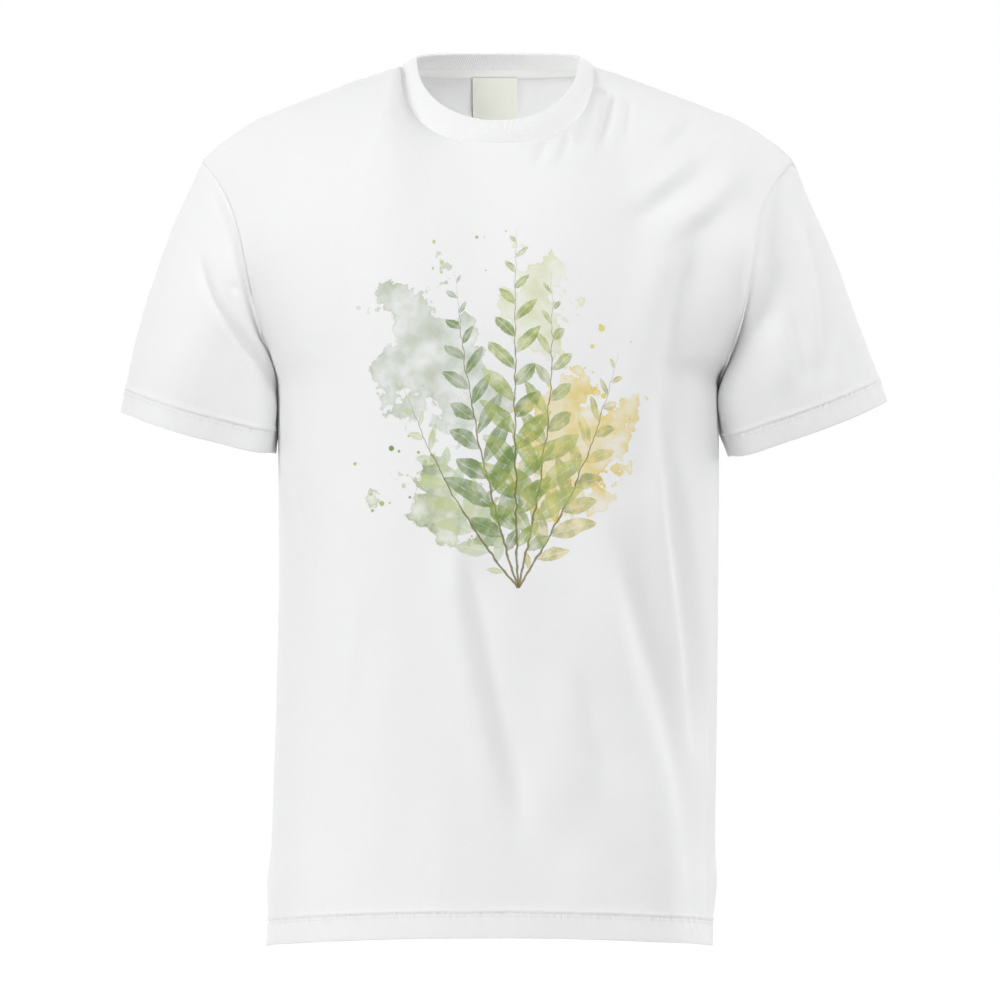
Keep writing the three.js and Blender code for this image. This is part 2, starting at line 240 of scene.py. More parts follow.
@dataclass(frozen=True)
class ShirtForm:
    """The form that every piece of cloth follows, as smooth formulas.

    Attributes:
        shoulder_lift: How far the left and the right shoulder seam bow up in the middle.
        lift_skew: Below 1, the bow is highest towards the neck.
        hem_sway: How far the hem hangs to one side.
        side_hollow: How far the left and the right side are drawn in at mid height.
        armhole_top_flare: How much further the armhole leans out close to the shoulder.
        neck_share: The share of a panel's top edge that is neck.
    """

    neck_half_width: float = 0.0856
    shoulder_half_width: float = 0.2615
    shoulder_slope: float = 0.375
    round_from: float = 0.205
    round_off: float = 5.5
    shoulder_lift: Place = (0.0028, 0.0013)
    lift_skew: float = 0.7
    armpit_half_width: float = 0.195
    armpit_z: float = -0.280
    hem_half_width: float = 0.1975
    hem_z: float = -0.777
    hem_arch: float = 0.005
    hem_sway: float = -0.007
    side_hollow: Place = (0.004, 0.0)
    armhole_flare: float = 0.036
    armhole_top_flare: float = 0.0305
    armhole_flare_power: int = 5
    armhole_depth: float = 0.058
    armhole_roundness: float = 0.8
    squareness: float = 2.35
    shoulder_roundness: float = 1.7
    chest_power: float = 2.2
    neck_share: float = 7 / 16
    band_side_half_width: float = 0.0718
    band_side_z: float = 0.009
    band_fullness: float = 0.0012

    def shoulder_z(self, x: np.ndarray) -> np.ndarray:
        """Returns the height of the shoulder seam at x."""
        past = np.maximum(0, x - self.round_from)
        return -self.shoulder_slope * (x - self.neck_half_width) - self.round_off * past**2

    def neck_curve(
        self,
        turn: np.ndarray,
        half_width: float,
        depth: float,
        heights: Place,
        squareness: float,
    ) -> np.ndarray:
        """A rounded U through both high shoulder points.

        Args:
            turn: -1 at one shoulder, 0 in the middle and 1 at the other shoulder.
            half_width: Half the distance between the shoulder points.
            depth: How far the U reaches along y, with its sign.
            heights: z at the shoulders and in the middle.
            squareness: 2 gives an ellipse, and more gives fuller corners.

        Returns:
            The points.
        """
        angle = turn * math.pi / 2
        across, along = np.sin(angle), np.abs(np.cos(angle))
        reach = (np.abs(across) ** squareness + along**squareness) ** (-1 / squareness)
        z = blend(heights[0], heights[1], reach * along)
        return stack(half_width * reach * across, depth * along, z)

    def neck_seam(self, cut: PanelCut, turn: np.ndarray) -> np.ndarray:
        """Returns points of the seam between one face of the body and the neckband."""
        depth = cut.face.value * cut.neck_depth
        heights = (0.0, cut.neck_z)
        return self.neck_curve(turn, self.neck_half_width, depth, heights, cut.neck_squareness)

    def neck_top(self, cut: PanelCut, turn: np.ndarray) -> np.ndarray:
        """Returns points of the neckband's folded edge over one face of the body."""
        depth = cut.face.value * cut.band_depth
        heights = (self.band_side_z, cut.band_z)
        return self.neck_curve(turn, self.band_side_half_width, depth, heights, cut.band_squareness)

    def top_edge(self, cut: PanelCut, s: np.ndarray) -> np.ndarray:
        """Returns a panel's upper edge: a shoulder seam, the neck seam and a shoulder seam."""
        neck = self.neck_seam(cut, np.clip(s / self.neck_share, -1, 1))
        along = np.clip((np.abs(s) - self.neck_share) / (1 - self.neck_share), 0, 1)
        x = blend(self.neck_half_width, self.shoulder_half_width, along)
        lift = np.where(s < 0, *self.shoulder_lift) * np.sin(math.pi * along**self.lift_skew)
        seam = stack(np.sign(s) * x, 0, self.shoulder_z(x) + lift)
        return np.where((np.abs(s) <= self.neck_share)[..., None], neck, seam)

    def armhole(self, sign: np.ndarray, rise: np.ndarray) -> np.ndarray:
        """Returns the armhole seam of the +X side; rise is 0 at the armpit, 1 at the shoulder."""
        top_flare = self.armhole_top_flare * rise**self.armhole_flare_power
        x = self.armpit_half_width + self.armhole_flare * rise + top_flare
        round_it = np.maximum(0, np.sin(math.pi * rise)) ** self.armhole_roundness
        top = self.shoulder_z(np.array(self.shoulder_half_width))
        return stack(x, sign * self.armhole_depth * round_it, blend(self.armpit_z, top, rise))

    def shoulder_fall(self, level: np.ndarray, roundness: np.ndarray) -> np.ndarray:
        """Returns how much of the chest's depth is left at a level above the armpits."""
        return np.maximum(0, 1 - level**self.chest_power) ** (1 / roundness)

    def lower_body(self, cut: PanelCut, s: np.ndarray, drop: np.ndarray) -> np.ndarray:
        """Returns points from the armpits, where drop is 0, down to the hem's edge at 1."""
        across = np.sin(s * math.pi / 2)
        swell = bow(across, self.squareness)
        hollow = blend(*self.side_hollow, (across + 1) / 2) * np.sin(math.pi * drop)
        half_width = blend(self.armpit_half_width, self.hem_half_width, drop) - hollow
        depth = blend(cut.chest_depth, cut.hem_depth, drop)
        z = blend(self.armpit_z, self.hem_edge_z(cut, across), drop)
        y = cut.face.value * depth * swell
        return stack(across * half_width + self.hem_sway * drop**2, y, z)

    def hem_edge_z(self, cut: PanelCut, across: np.ndarray) -> np.ndarray:
        """Returns the height of the hem's lower edge, which rises from the sides."""
        swell = bow(across, self.squareness)
        return self.hem_z + cut.hem_rise * swell + self.hem_arch * (1 - across**2)

    def upper_body(self, cut: PanelCut, s: np.ndarray, level: np.ndarray) -> np.ndarray:
        """Returns points from the armpits, where level is 0, up to the top edge at 1."""
        across = np.sin(s * math.pi / 2)
        top, edge = self.top_edge(cut, s), self.armhole(np.ones(1), level)
        roundness = blend(1, self.shoulder_roundness, smooth(np.abs(s), 0, self.neck_share))
        depth = cut.chest_depth * self.shoulder_fall(level, roundness)
        at_arm = cut.chest_depth * self.shoulder_fall(level, np.array(self.shoulder_roundness))
        share = np.clip(edge[..., 1] / np.maximum(at_arm, 1e-9), 0, 1)
        sleeve_cut = np.where(level < 1, bow(share, self.squareness), 1)
        near_top = level**2
        x = edge[..., 0] * blend(across, top[..., 0] / self.shoulder_half_width, near_top)
        y = depth * bow(across * sleeve_cut, self.squareness) + np.abs(top[..., 1]) * near_top
        return stack(x, cut.face.value * y, blend(self.armpit_z, top[..., 2], level))

    def side_length(self, cut: PanelCut, s: np.ndarray) -> np.ndarray:
        """Returns the length of the cloth from the armpit's level to the hem's edge."""
        return self.armpit_z - self.hem_edge_z(cut, np.sin(s * math.pi / 2))

    def sleeve_length(self, cut: SleeveCut, turn: np.ndarray) -> np.ndarray:
        """Returns the length of the sleeve from the armhole to its mouth at each turn."""
        ends = [self.sleeve(cut, turn, np.full(np.shape(turn), along)) for along in (0.0, 1.0)]
        return np.linalg.norm(ends[1] - ends[0], axis=-1)

    def sleeve(self, cut: SleeveCut, turn: np.ndarray, along: np.ndarray) -> np.ndarray:
        """Points of a sleeve.

        Args:
            cut: The sleeve.
            turn: 0 at the shoulder, 1 at the armpit by the front and 2 back at the shoulder.
            along: 0 at the armhole and 1 at the sleeve's mouth.

        Returns:
            The points.
        """
        step = np.abs(1 - turn)
        start = self.armhole(np.where(turn <= 1, -1.0, 1.0), (1 - np.cos(math.pi * step)) / 2)
        outer, inner = (np.array([p[0], 0, p[1]]) for p in (cut.outer, cut.inner))
        middle, angle = (outer + inner) / 2, (turn * math.pi)[..., None]
        arm = (outer - middle) * np.cos(angle)
        arm[..., 1:2] = -cut.half_depth * np.sin(angle)
        full = np.abs(np.sin(angle)) + cut.outer_fullness * np.maximum(0, np.cos(angle))
        full += cut.inner_fullness * np.maximum(0, -np.cos(angle))
        share = along[..., None]
        drop = np.array([0, 0, cut.mouth_bow]) * np.sin(angle) ** 2
        points = blend(start, middle + arm - drop, share)
        points = points + unit(arm) * cut.fullness * full * np.sin(math.pi * share)
        return points * np.array([cut.side, 1, 1])

    def band(self, turn: np.ndarray, up: np.ndarray) -> np.ndarray:
        """Points of the neckband.

        Args:
            turn: -1 to 1 over the front, from shoulder to shoulder, and on to 2 behind the neck.
            up: 0 at the seam and 1 at the folded edge.

        Returns:
            The points.
        """
        behind = np.abs(turn) > 1
        within = np.where(behind, np.sign(turn) * (2 - np.abs(turn)), turn)
        seam, top = (
            np.where(behind[..., None], curve(BACK, within), curve(FRONT, within))
            for curve in (self.neck_seam, self.neck_top)
        )
        outward = unit(seam * np.array([1, 1, 0]))
        lift = self.band_fullness * np.sin(math.pi * np.clip(up, 0, 1))
        return blend(seam, top, up[..., None]) + outward * lift[..., None]


FORM = ShirtForm()


# -------------- creases


@dataclass(frozen=True)
class Crease:
    """A soft fold along a smooth line of x and z places seen from the front.

    Attributes:
        path: The places that the line passes.
        width: Half the width of its steep part.
        depth: How far it is pressed in.
        step: 0 makes a valley on the line. 1 makes a slope there, which falls from a ridge on the
            left of a line that runs down to a valley on its right.
        fade: The shares of the length over which it starts and ends.
        spread: How many widths away a ridge or valley has died out.
        widening: Its width at the start and the end of the line, as shares of width.
        bank: How high the cloth stands on both sides of a valley, as a share of depth.
        bank_at: How many widths from the line those banks lie.
    """

    path: tuple[Place, ...]
    width: float
    depth: float
    step: float = 0.8
    fade: Place = (0.35, 0.35)
    spread: float = 2.8
    widening: Place = (0.75, 1.15)
    bank: float = 0.3
    bank_at: float = 2.1

    def line(self) -> np.ndarray:
        """Returns the path with its corners rounded, by cutting them three times."""
        line = np.array(self.path, float)
        for _ in range(3):
            ahead = 0.75 * line[:-1] + 0.25 * line[1:]
            behind = 0.25 * line[:-1] + 0.75 * line[1:]
            middle = np.stack([ahead, behind], axis=1).reshape(-1, 2)
            line = np.concatenate([line[:1], middle[1:-1], line[-1:]])
        return line

    def height(self, places: np.ndarray) -> np.ndarray:
        """The crease's height over the plain form.

        Args:
            places: x and z of the points, in the last axis.

        Returns:
            The height at each point, negative in a valley.
        """
        line = self.line()
        runs = np.diff(line, axis=0)
        lengths = np.linalg.norm(runs, axis=1)
        before = np.concatenate([[0], np.cumsum(lengths)])
        nearest = np.full(places.shape[:-1], np.inf)
        signed, share = np.zeros_like(nearest), np.zeros_like(nearest)
        for start, run, length, done in zip(line, runs, lengths, before):
            away = places - start
            t = np.clip(away @ run / length**2, 0, 1)
            gap = away - t[..., None] * run
            distance = np.hypot(gap[..., 0], gap[..., 1])
            closer = distance < nearest
            side = np.sign(run[0] * away[..., 1] - run[1] * away[..., 0])
            nearest = np.where(closer, distance, nearest)
            signed = np.where(closer, side * distance, signed)
            share = np.where(closer, (done + t * length) / before[-1], share)
        width = self.width * blend(*self.widening, share)
        alive = smooth(share, 0, self.fade[0]) * (1 - smooth(share, 1 - self.fade[1], 1))
        banks = self.bank * hill(np.abs(signed) - self.bank_at * width, width)
        valley = -hill(signed, width) + banks
        slope = -np.tanh(signed / width) * hill(signed, self.spread * width)
        return alive * self.depth * blend(valley, slope, self.step)


@dataclass(frozen=True)
class Undulation:
    """The slight unevenness of hanging cloth: long seeded waves that mostly run downwards."""

    seed: int
    height: float
    waves: int = 14
    shortest: float = 0.045
    longest: float = 0.13
    upright: float = 0.35

    def at(self, places: np.ndarray) -> np.ndarray:
        """Returns the waves' height at x and z places."""
        draw = np.random.default_rng(self.seed)
        total = np.zeros(places.shape[:-1])
        for _ in range(self.waves):
            length = draw.uniform(self.shortest, self.longest)
            slant = draw.normal(0, self.upright)
            phase = draw.uniform(0, 2 * math.pi)
            along = places[..., 0] * math.cos(slant) + places[..., 1] * math.sin(slant)
            total += length / self.longest * np.sin(2 * math.pi * along / length + phase)
        return self.height * total / math.sqrt(self.waves)


@dataclass(frozen=True)
class Pucker:
    """How cloth gathers along a row of stitches: a groove, a roll above it and slanted tucks.

    Attributes:
        tucks_above: How far above the stitches the finer tucks have died out.
        wide_share: The height of the wider tucks, as a share of tucks.
        reach: How far from the stitches the tucks reach.
        period: The distance from one fine tuck to the next.
    """

    seed: int
    groove: float = 0.0003
    groove_width: float = 0.0010
    roll: float = 0.0011
    roll_above: float = 0.0021
    roll_width: float = 0.0018
    tucks: float = 0.00058
    tucks_above: float = 0.0050
    wide_share: float = 0.8
    reach: float = 0.0045
    period: float = 0.0042

    def wander(self, along: np.ndarray, period: float, salt: int) -> np.ndarray:
        """Returns a smooth random run between -1 and 1 with about this period."""
        draw = np.random.default_rng(self.seed + salt)
        total = np.zeros(np.shape(along))
        for _ in range(6):
            length = period * draw.uniform(0.7, 1.6)
            total += np.sin(2 * math.pi * along / length + draw.uniform(0, 2 * math.pi))
        return np.clip(total / 2.6, -1, 1)

    def height(self, along: np.ndarray, above: np.ndarray) -> np.ndarray:
        """The height of the gathered cloth.

        Args:
            along: The distance along the seam.
            above: The distance from the stitches, negative on the hem's side.

        Returns:
            The height over the plain cloth.
        """
        strength = 0.75 + 0.25 * self.wander(along, 0.05, 1)
        groove = -self.groove * hill(above + 0.0004, self.groove_width)
        roll = self.roll * strength * hill(above - self.roll_above, self.roll_width)
        wide = self.wander(along + 0.3 * above, 3.5 * self.period, 4)
        fine = self.wander(along + 0.15 * above, self.period, 2)
        below = 1 - smooth(above, 0.0, self.tucks_above)
        tucks = self.tucks * fine * below * hill(above + 0.0005, self.reach)
        waves = self.wide_share * self.tucks * wide * hill(above + 0.002, 2.2 * self.reach)
        return groove + roll + tucks + waves


FRONT_CREASES = (
    # short pulls that start at the neckband
    Crease(((0.044, -0.070), (0.037, -0.082), (0.027, -0.100)), 0.0046, 0.0050, 0.7, (0.1, 0.6)),
    Crease(((0.063, -0.063), (0.055, -0.079), (0.045, -0.102)), 0.0050, 0.0064, 0.8, (0.1, 0.6)),
    Crease(((0.099, -0.025), (0.094, -0.044), (0.082, -0.095)), 0.0050, 0.0074, 0.7, (0.1, 0.6)),
    Crease(((0.114, -0.024), (0.112, -0.049), (0.107, -0.089)), 0.0046, 0.0046, 0.5, (0.2, 0.5)),
    Crease(((-0.092, -0.037), (-0.087, -0.052), (-0.081, -0.070)), 0.0036, 0.0010, 0.5, (0.3, 0.5)),
    # pulls from the right shoulder across the chest
    Crease(((0.171, -0.042), (0.158, -0.060), (0.140, -0.081)), 0.0050, 0.0036, 0.7, (0.4, 0.5)),
    Crease(
        ((0.190, -0.073), (0.158, -0.105), (0.122, -0.134), (0.098, -0.144)),
        0.0064, 0.0068, 0.8, (0.4, 0.5),
    ),
    Crease(
        ((0.223, -0.085), (0.193, -0.129), (0.152, -0.158), (0.131, -0.180)),
        0.0078, 0.0082, 0.8, (0.35, 0.5),
    ),
    Crease(
        ((0.180, -0.135), (0.161, -0.195), (0.151, -0.255), (0.147, -0.320), (0.148, -0.380)),
        0.0170, 0.0130, 0.35, (0.25, 0.3),
    ),
    # the long fold down the right side, and the broad drape beside it
    Crease(
        ((0.145, -0.290), (0.149, -0.380), (0.162, -0.463), (0.177, -0.546), (0.185, -0.632)),
        0.0085, 0.0150, 0.45, (0.22, 0.2),
    ),
    Crease(
        ((0.091, -0.387), (0.109, -0.479), (0.135, -0.562), (0.155, -0.628), (0.164, -0.715),
         (0.168, -0.800)),
        0.0175, 0.0205, 0.85, (0.25, 0.10),
    ),
    Crease(((0.058, -0.516), (0.081, -0.600), (0.098, -0.651)), 0.0110, 0.0062, 0.8, (0.4, 0.4)),
    Crease(((0.088, -0.671), (0.097, -0.714), (0.098, -0.757)), 0.0200, 0.0040, 0.6, (0.4, 0.2)),
    # the fold down the middle, and its small companions
    Crease(
        ((-0.036, -0.409), (-0.025, -0.472), (-0.013, -0.534), (0.001, -0.600), (0.014, -0.651),
         (0.025, -0.718)),
        0.0100, 0.0120, 0.85, (0.2, 0.42),
    ),
    Crease(((-0.060, -0.681), (-0.058, -0.706)), 0.0070, 0.0013, 0.3, (0.5, 0.5)),
    Crease(((-0.043, -0.703), (-0.046, -0.742)), 0.0032, 0.0008, 0.3, (0.5, 0.4)),
    Crease(((0.036, -0.632), (0.047, -0.684), (0.050, -0.731)), 0.0140, 0.0034, 0.6, (0.4, 0.3)),
    # the calm left side
    Crease(((-0.184, -0.355), (-0.173, -0.390), (-0.163, -0.426)), 0.0036, 0.0013, 0.5, (0.3, 0.4)),
    Crease(
        ((-0.138, -0.357), (-0.148, -0.417), (-0.157, -0.459), (-0.161, -0.495)),
        0.0065, 0.0019, 0.7, (0.35, 0.4),
    ),
    Crease(
        ((-0.112, -0.456), (-0.118, -0.521), (-0.123, -0.572), (-0.129, -0.603)),
        0.0065, 0.0018, 0.7, (0.35, 0.4),
    ),
    Crease(((-0.171, -0.273), (-0.169, -0.306), (-0.173, -0.337)), 0.0070, 0.0014, 0.4, (0.4, 0.4)),
    Crease(((-0.144, -0.641), (-0.155, -0.688), (-0.160, -0.727)), 0.0120, 0.0016, 0.5, (0.4, 0.3)),
)
BACK_CREASES = (
    # long drapes that fall from the shoulder blades to the hem
    Crease(
        ((-0.118, -0.150), (-0.104, -0.300), (-0.112, -0.440), (-0.132, -0.570), (-0.142, -0.710)),
        0.0120, 0.0058, 0.75, (0.3, 0.15),
    ),
    Crease(
        ((-0.030, -0.330), (-0.044, -0.450), (-0.052, -0.580), (-0.068, -0.730)),
        0.0110, 0.0048, 0.8, (0.3, 0.12),
    ),
    Crease(
        ((0.028, -0.240), (0.040, -0.400), (0.056, -0.540), (0.062, -0.720)),
        0.0120, 0.0056, 0.8, (0.3, 0.15),
    ),
    Crease(
        ((0.150, -0.730), (0.142, -0.600), (0.120, -0.470), (0.110, -0.330), (0.126, -0.170)),
        0.0130, 0.0064, 0.75, (0.15, 0.3),
    ),
    Crease(((-0.004, -0.560), (-0.010, -0.650), (-0.008, -0.745)), 0.0100, 0.0026, 0.4, (0.4, 0.1)),
    Crease(((0.100, -0.560), (0.104, -0.640), (0.100, -0.720)), 0.0080, 0.0022, 0.5, (0.4, 0.2)),
    # pulls from the armholes towards the waist
    Crease(
        ((0.214, -0.110), (0.176, -0.150), (0.130, -0.204), (0.104, -0.270)),
        0.0090, 0.0034, 0.6, (0.2, 0.45),
    ),
    Crease(
        ((-0.096, -0.246), (-0.128, -0.184), (-0.172, -0.140), (-0.214, -0.104)),
        0.0090, 0.0034, 0.6, (0.45, 0.2),
    ),
    Crease(((0.196, -0.230), (0.164, -0.290), (0.148, -0.370)), 0.0100, 0.0032, 0.5, (0.25, 0.4)),
    Crease(((-0.146, -0.350), (-0.160, -0.280), (-0.196, -0.226)), 0.0100, 0.0032, 0.5, (0.4, 0.25)),
    # side drapes and the hollow below the neck
    Crease(((0.184, -0.420), (0.178, -0.540), (0.186, -0.680)), 0.0080, 0.0032, 0.7),
    Crease(((-0.188, -0.670), (-0.176, -0.530), (-0.184, -0.400)), 0.0080, 0.0032, 0.7),
    Crease(((-0.070, -0.030), (0.000, -0.062), (0.070, -0.030)), 0.0120, 0.0014, 0.2, (0.3, 0.3)),
)
SLEEVE_CREASES = {
    -1: (
        Crease(
            ((-0.198, -0.331), (-0.195, -0.307), (-0.197, -0.287), (-0.207, -0.264),
             (-0.222, -0.244), (-0.242, -0.215), (-0.255, -0.189), (-0.262, -0.153)),
            0.0040, 0.0080, 0.5, (0.08, 0.22),
        ),
        Crease(((-0.237, -0.192), (-0.230, -0.199), (-0.225, -0.206)), 0.0050, 0.0032, 0.2, (0.5, 0.5)),
        Crease(((-0.254, -0.105), (-0.246, -0.122), (-0.236, -0.145)), 0.0044, 0.0034, 0.4),
        Crease(((-0.262, -0.226), (-0.247, -0.272), (-0.235, -0.318)), 0.0180, 0.0036, 0.7),
    ),
    1: (
        Crease(
            ((0.263, -0.119), (0.278, -0.186), (0.283, -0.246), (0.284, -0.289)),
            0.0045, 0.0042, 0.8, (0.25, 0.3),
        ),
        Crease(((0.241, -0.167), (0.233, -0.209), (0.220, -0.248)), 0.0080, 0.0052, 0.6, (0.3, 0.3)),
        Crease(((0.251, -0.214), (0.259, -0.253), (0.266, -0.293)), 0.0080, 0.0052, 0.7, (0.3, 0.3)),
        Crease(((0.303, -0.235), (0.310, -0.266), (0.313, -0.294)), 0.0070, 0.0026, 0.6, (0.3, 0.3)),
    ),
}


# -------------- grids of cloth


@dataclass
class ClothGrid:
    """The outer side of a piece of cloth as rows and columns of points.

    Attributes:
        points: The points, by row, column and coordinate.
        flat: The same points on the flat pattern, in metres.
        outward: The outward normals.
        closed: Whether the first and last columns are one line.
    """

    points: np.ndarray
    flat: np.ndarray
    outward: np.ndarray
    closed: bool = False

    @staticmethod
    def over(points: np.ndarray, closed: bool = False, zero: Place = (0.5, 0.0)) -> "ClothGrid":
        """A grid whose flat pattern and normals come from its own points.

        Args:
            points: The points, by row, column and coordinate.
            closed: Whether the first and last columns are one line.
            zero: The shares of the columns and rows where the flat pattern has its zero.

        Returns:
            The grid.
        """
        wide, high = points.shape[1] - 1, points.shape[0] - 1
        across = np.linalg.norm(np.diff(points, axis=1), axis=-1).cumsum(axis=1)
        across = np.concatenate([np.zeros((high + 1, 1)), across], axis=1)
        along = np.linalg.norm(np.diff(points, axis=0), axis=-1).cumsum(axis=0)
        along = np.concatenate([np.zeros((1, wide + 1)), along], axis=0)
        across -= across[:, [round(zero[0] * wide)]]
        along -= along[[round(zero[1] * high)]]
        flat = np.stack([across, along], axis=-1)
        return ClothGrid(points, flat, normals_of(points, closed), closed)

    def raised(self, height: np.ndarray) -> "ClothGrid":
        """Returns the grid with each point moved outwards by a height, its normals made anew."""
        points = self.points + self.outward * height[..., None]
        fresh = normals_of(points, self.closed)
        return replace(self, points=points, outward=fresh)


def normals_of(points: np.ndarray, closed: bool) -> np.ndarray:
    """The outward normals of a grid that surrounds the wearer.

    Args:
        points: The points, by row, column and coordinate.
        closed: Whether the first and last columns are one line.

    Returns:
        One normal for each point, pointing away from the wearer.
    """
    if closed:
        padded = np.concatenate([points[:, -3:-1], points, points[:, 1:3]], axis=1)
        across = np.gradient(padded, axis=1)[:, 2:-2]
    else:
        across = np.gradient(points, axis=1)
    along = np.gradient(points, axis=0)
    found = unit(np.cross(across, along))
    if closed:
        away = points - points[:, :-1].mean(axis=1, keepdims=True)
    else:
        away = points * np.array([0.2, 1, 0])
    return found * np.sign((found * away).sum())


Guide = Callable[[np.ndarray], ClothGrid]


@dataclass(frozen=True)
class FoldedBand:
    """A band of cloth folded double, such as a hem: two plies joined by a round fold.

    Attributes:
        ply: The thickness of one ply.
        gap: The space between the plies.
        rows: The number of steps up one side.
        round_rows: The number of steps round the fold.
    """

    ply: float = 0.0008
    gap: float = 0.0002
    rows: int = 18
    round_rows: int = 6

    def section(self, width: float, under: float) -> np.ndarray:
        """The band's cross-section.

        Args:
            width: The distance from the folded edge to the stitches.
            under: How far the band runs on under the cloth beyond the stitches.

        Returns:
            The distance from the folded edge and the depth of each corner, as a closed round.
        """
        outer_radius = self.ply + self.gap / 2
        inner_radius = self.gap / 2
        reach = width + under
        down = blend(reach, outer_radius, np.linspace(0, 1, self.rows + 1) ** 1.5)
        turn = np.linspace(-math.pi / 2, math.pi / 2, self.round_rows + 1)
        sink = np.where(down > width, (down - width) / under, 0) * self.ply * 1.3
        outer = np.stack([down, sink], axis=1)
        fold = outer_radius * np.stack([1 - np.cos(turn), 1 + np.sin(turn)], axis=1)
        up = np.stack([down[::-1], np.full(len(down), 2 * outer_radius)], axis=1)
        inside = np.linspace(reach, outer_radius, 4)
        back = np.stack([inside, np.full(4, 2 * outer_radius - self.ply)], axis=1)
        bend = np.array([[outer_radius - inner_radius, outer_radius]])
        front = np.stack([inside[::-1], np.full(4, self.ply)], axis=1)
        front[-1, 1] = sink[0] + self.ply
        return np.concatenate([outer, fold[1:-1], up, back, bend, front])

    def wrap(self, guide: Guide, width: float, under: float) -> ClothGrid:
        """Lays the section along a piece's edge.

        Args:
            guide: Gives the cloth's outer side for rows at these distances from the edge.
            width: The distance from the folded edge to the stitches.
            under: How far the band runs on under the cloth beyond the stitches.

        Returns:
            The folded band, whose first and last rows are one line.
        """
        section = self.section(width, under)
        cloth = guide(section[:, 0])
        points = cloth.points - cloth.outward * section[:, 1][:, None, None]
        run = np.linalg.norm(np.diff(section, axis=0), axis=1).cumsum()
        flat = cloth.flat.copy()
        flat[..., 1] = cloth.flat[:1, :, 1] - np.concatenate([[0], run])[:, None]
        points = np.concatenate([points, points[:1]])
        closing = flat[-1:] - np.array([0, float(np.linalg.norm(section[0] - section[-1]))])
        flat = np.concatenate([flat, closing])
        outward = np.concatenate([cloth.outward, cloth.outward[:1]])
        return ClothGrid(points, flat, outward, cloth.closed)


# -------------- making pieces in Blender


def deselect() -> None:
    """Deselects everything, so that an operator reaches only what is made next."""
    bpy.ops.object.select_all(action="DESELECT")


def pick(piece: bpy.types.Object) -> None:
    """Makes one piece the only selected and the active one."""
    deselect()
    piece.select_set(True)
    bpy.context.view_layer.objects.active = piece


def in_edit_mode(piece: bpy.types.Object, *steps: Callable[[], object]) -> None:
    """Runs edit-mode operators on all of a piece.

    Args:
        piece: The piece.
        steps: The operators to call, in turn.
    """
    pick(piece)
    bpy.ops.object.mode_set(mode="EDIT")
    bpy.ops.mesh.select_all(action="SELECT")
    for step in steps:
        step()
    bpy.ops.object.mode_set(mode="OBJECT")


def cloth_object(name: str, grid: ClothGrid, tube: bool = False) -> bpy.types.Object:
    """A grid primitive whose points are moved onto the cloth.

    Args:
        name: The piece's name.
        grid: Where its points go.
        tube: Whether the first and last rows are one line too.

    Returns:
        The piece, one layer thick unless it is a tube.
    """
    rows, columns = grid.points.shape[:2]
    deselect()
    bpy.ops.mesh.primitive_grid_add(
        x_subdivisions=columns - 1, y_subdivisions=rows - 1, size=1, location=(0, 0, 0)
    )
    piece = bpy.context.object
    piece.name = piece.data.name = name
    piece.data.vertices.foreach_set("co", grid.points.reshape(-1).astype(np.float32))
    corners = np.zeros(len(piece.data.loops), np.int32)
    piece.data.loops.foreach_get("vertex_index", corners)
    layer = piece.data.uv_layers[0]
    layer.name = FLAT_MAP
    layer.uv.foreach_set("vector", grid.flat.reshape(-1, 2)[corners].reshape(-1).astype(np.float32))
    piece.data.update()
    if not faces_outward(piece, grid):
        in_edit_mode(piece, bpy.ops.mesh.flip_normals)
    if grid.closed or tube:
        in_edit_mode(piece, lambda: bpy.ops.mesh.remove_doubles(threshold=2e-6))
    if tube and not grid.closed:
        cap_ends(piece)
    return piece


def faces_outward(piece: bpy.types.Object, grid: ClothGrid) -> bool:
    """Returns whether the faces of a fresh grid point the same way as its first normals."""
    columns = grid.points.shape[1] - 1
    probe = range(0, columns, max(1, columns // 40))
    found = sum(piece.data.polygons[i].normal.dot(Vector(grid.outward[0, i])) for i in probe)
    return found > 0


def cap_ends(piece: bpy.types.Object) -> None:
    """Closes the open ends of a folded band."""
    pick(piece)
    bpy.ops.object.mode_set(mode="EDIT")
    bpy.ops.mesh.select_all(action="DESELECT")
    bpy.ops.mesh.select_non_manifold(extend=False)
    bpy.ops.mesh.edge_face_add()
    bpy.ops.object.mode_set(mode="OBJECT")


def give_wall(piece: bpy.types.Object, wall: float) -> None:
    """Gives a one-layer piece its thickness, inwards."""
    pick(piece)
    modifier = piece.modifiers.new("wall", "SOLIDIFY")
    modifier.thickness = wall
    modifier.offset = -1
    bpy.ops.object.modifier_apply(modifier=modifier.name)


def soften(piece: bpy.types.Object, sharp_from: float = 50.0) -> None:
    """Shades a piece smooth, apart from edges sharper than an angle in degrees."""
    pick(piece)
    bpy.ops.object.shade_smooth_by_angle(angle=math.radians(sharp_from))


def dress(piece: bpy.types.Object, material: bpy.types.Material, slot: str, *nodes: str) -> None:
    """Gives a piece its finish and its place in the frame.

    Args:
        piece: The piece.
        material: Its material.
        slot: The record's material slot that it stands for; not used.
        nodes: The CAD nodes that it replaces.
    """
    piece.data.materials.clear()
    piece.data.materials.append(material)
    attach(piece, BODY)
    if nodes:
        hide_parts(*nodes)
    log.info("%s: %d faces", piece.name, len(piece.data.polygons))


# -------------- node trees


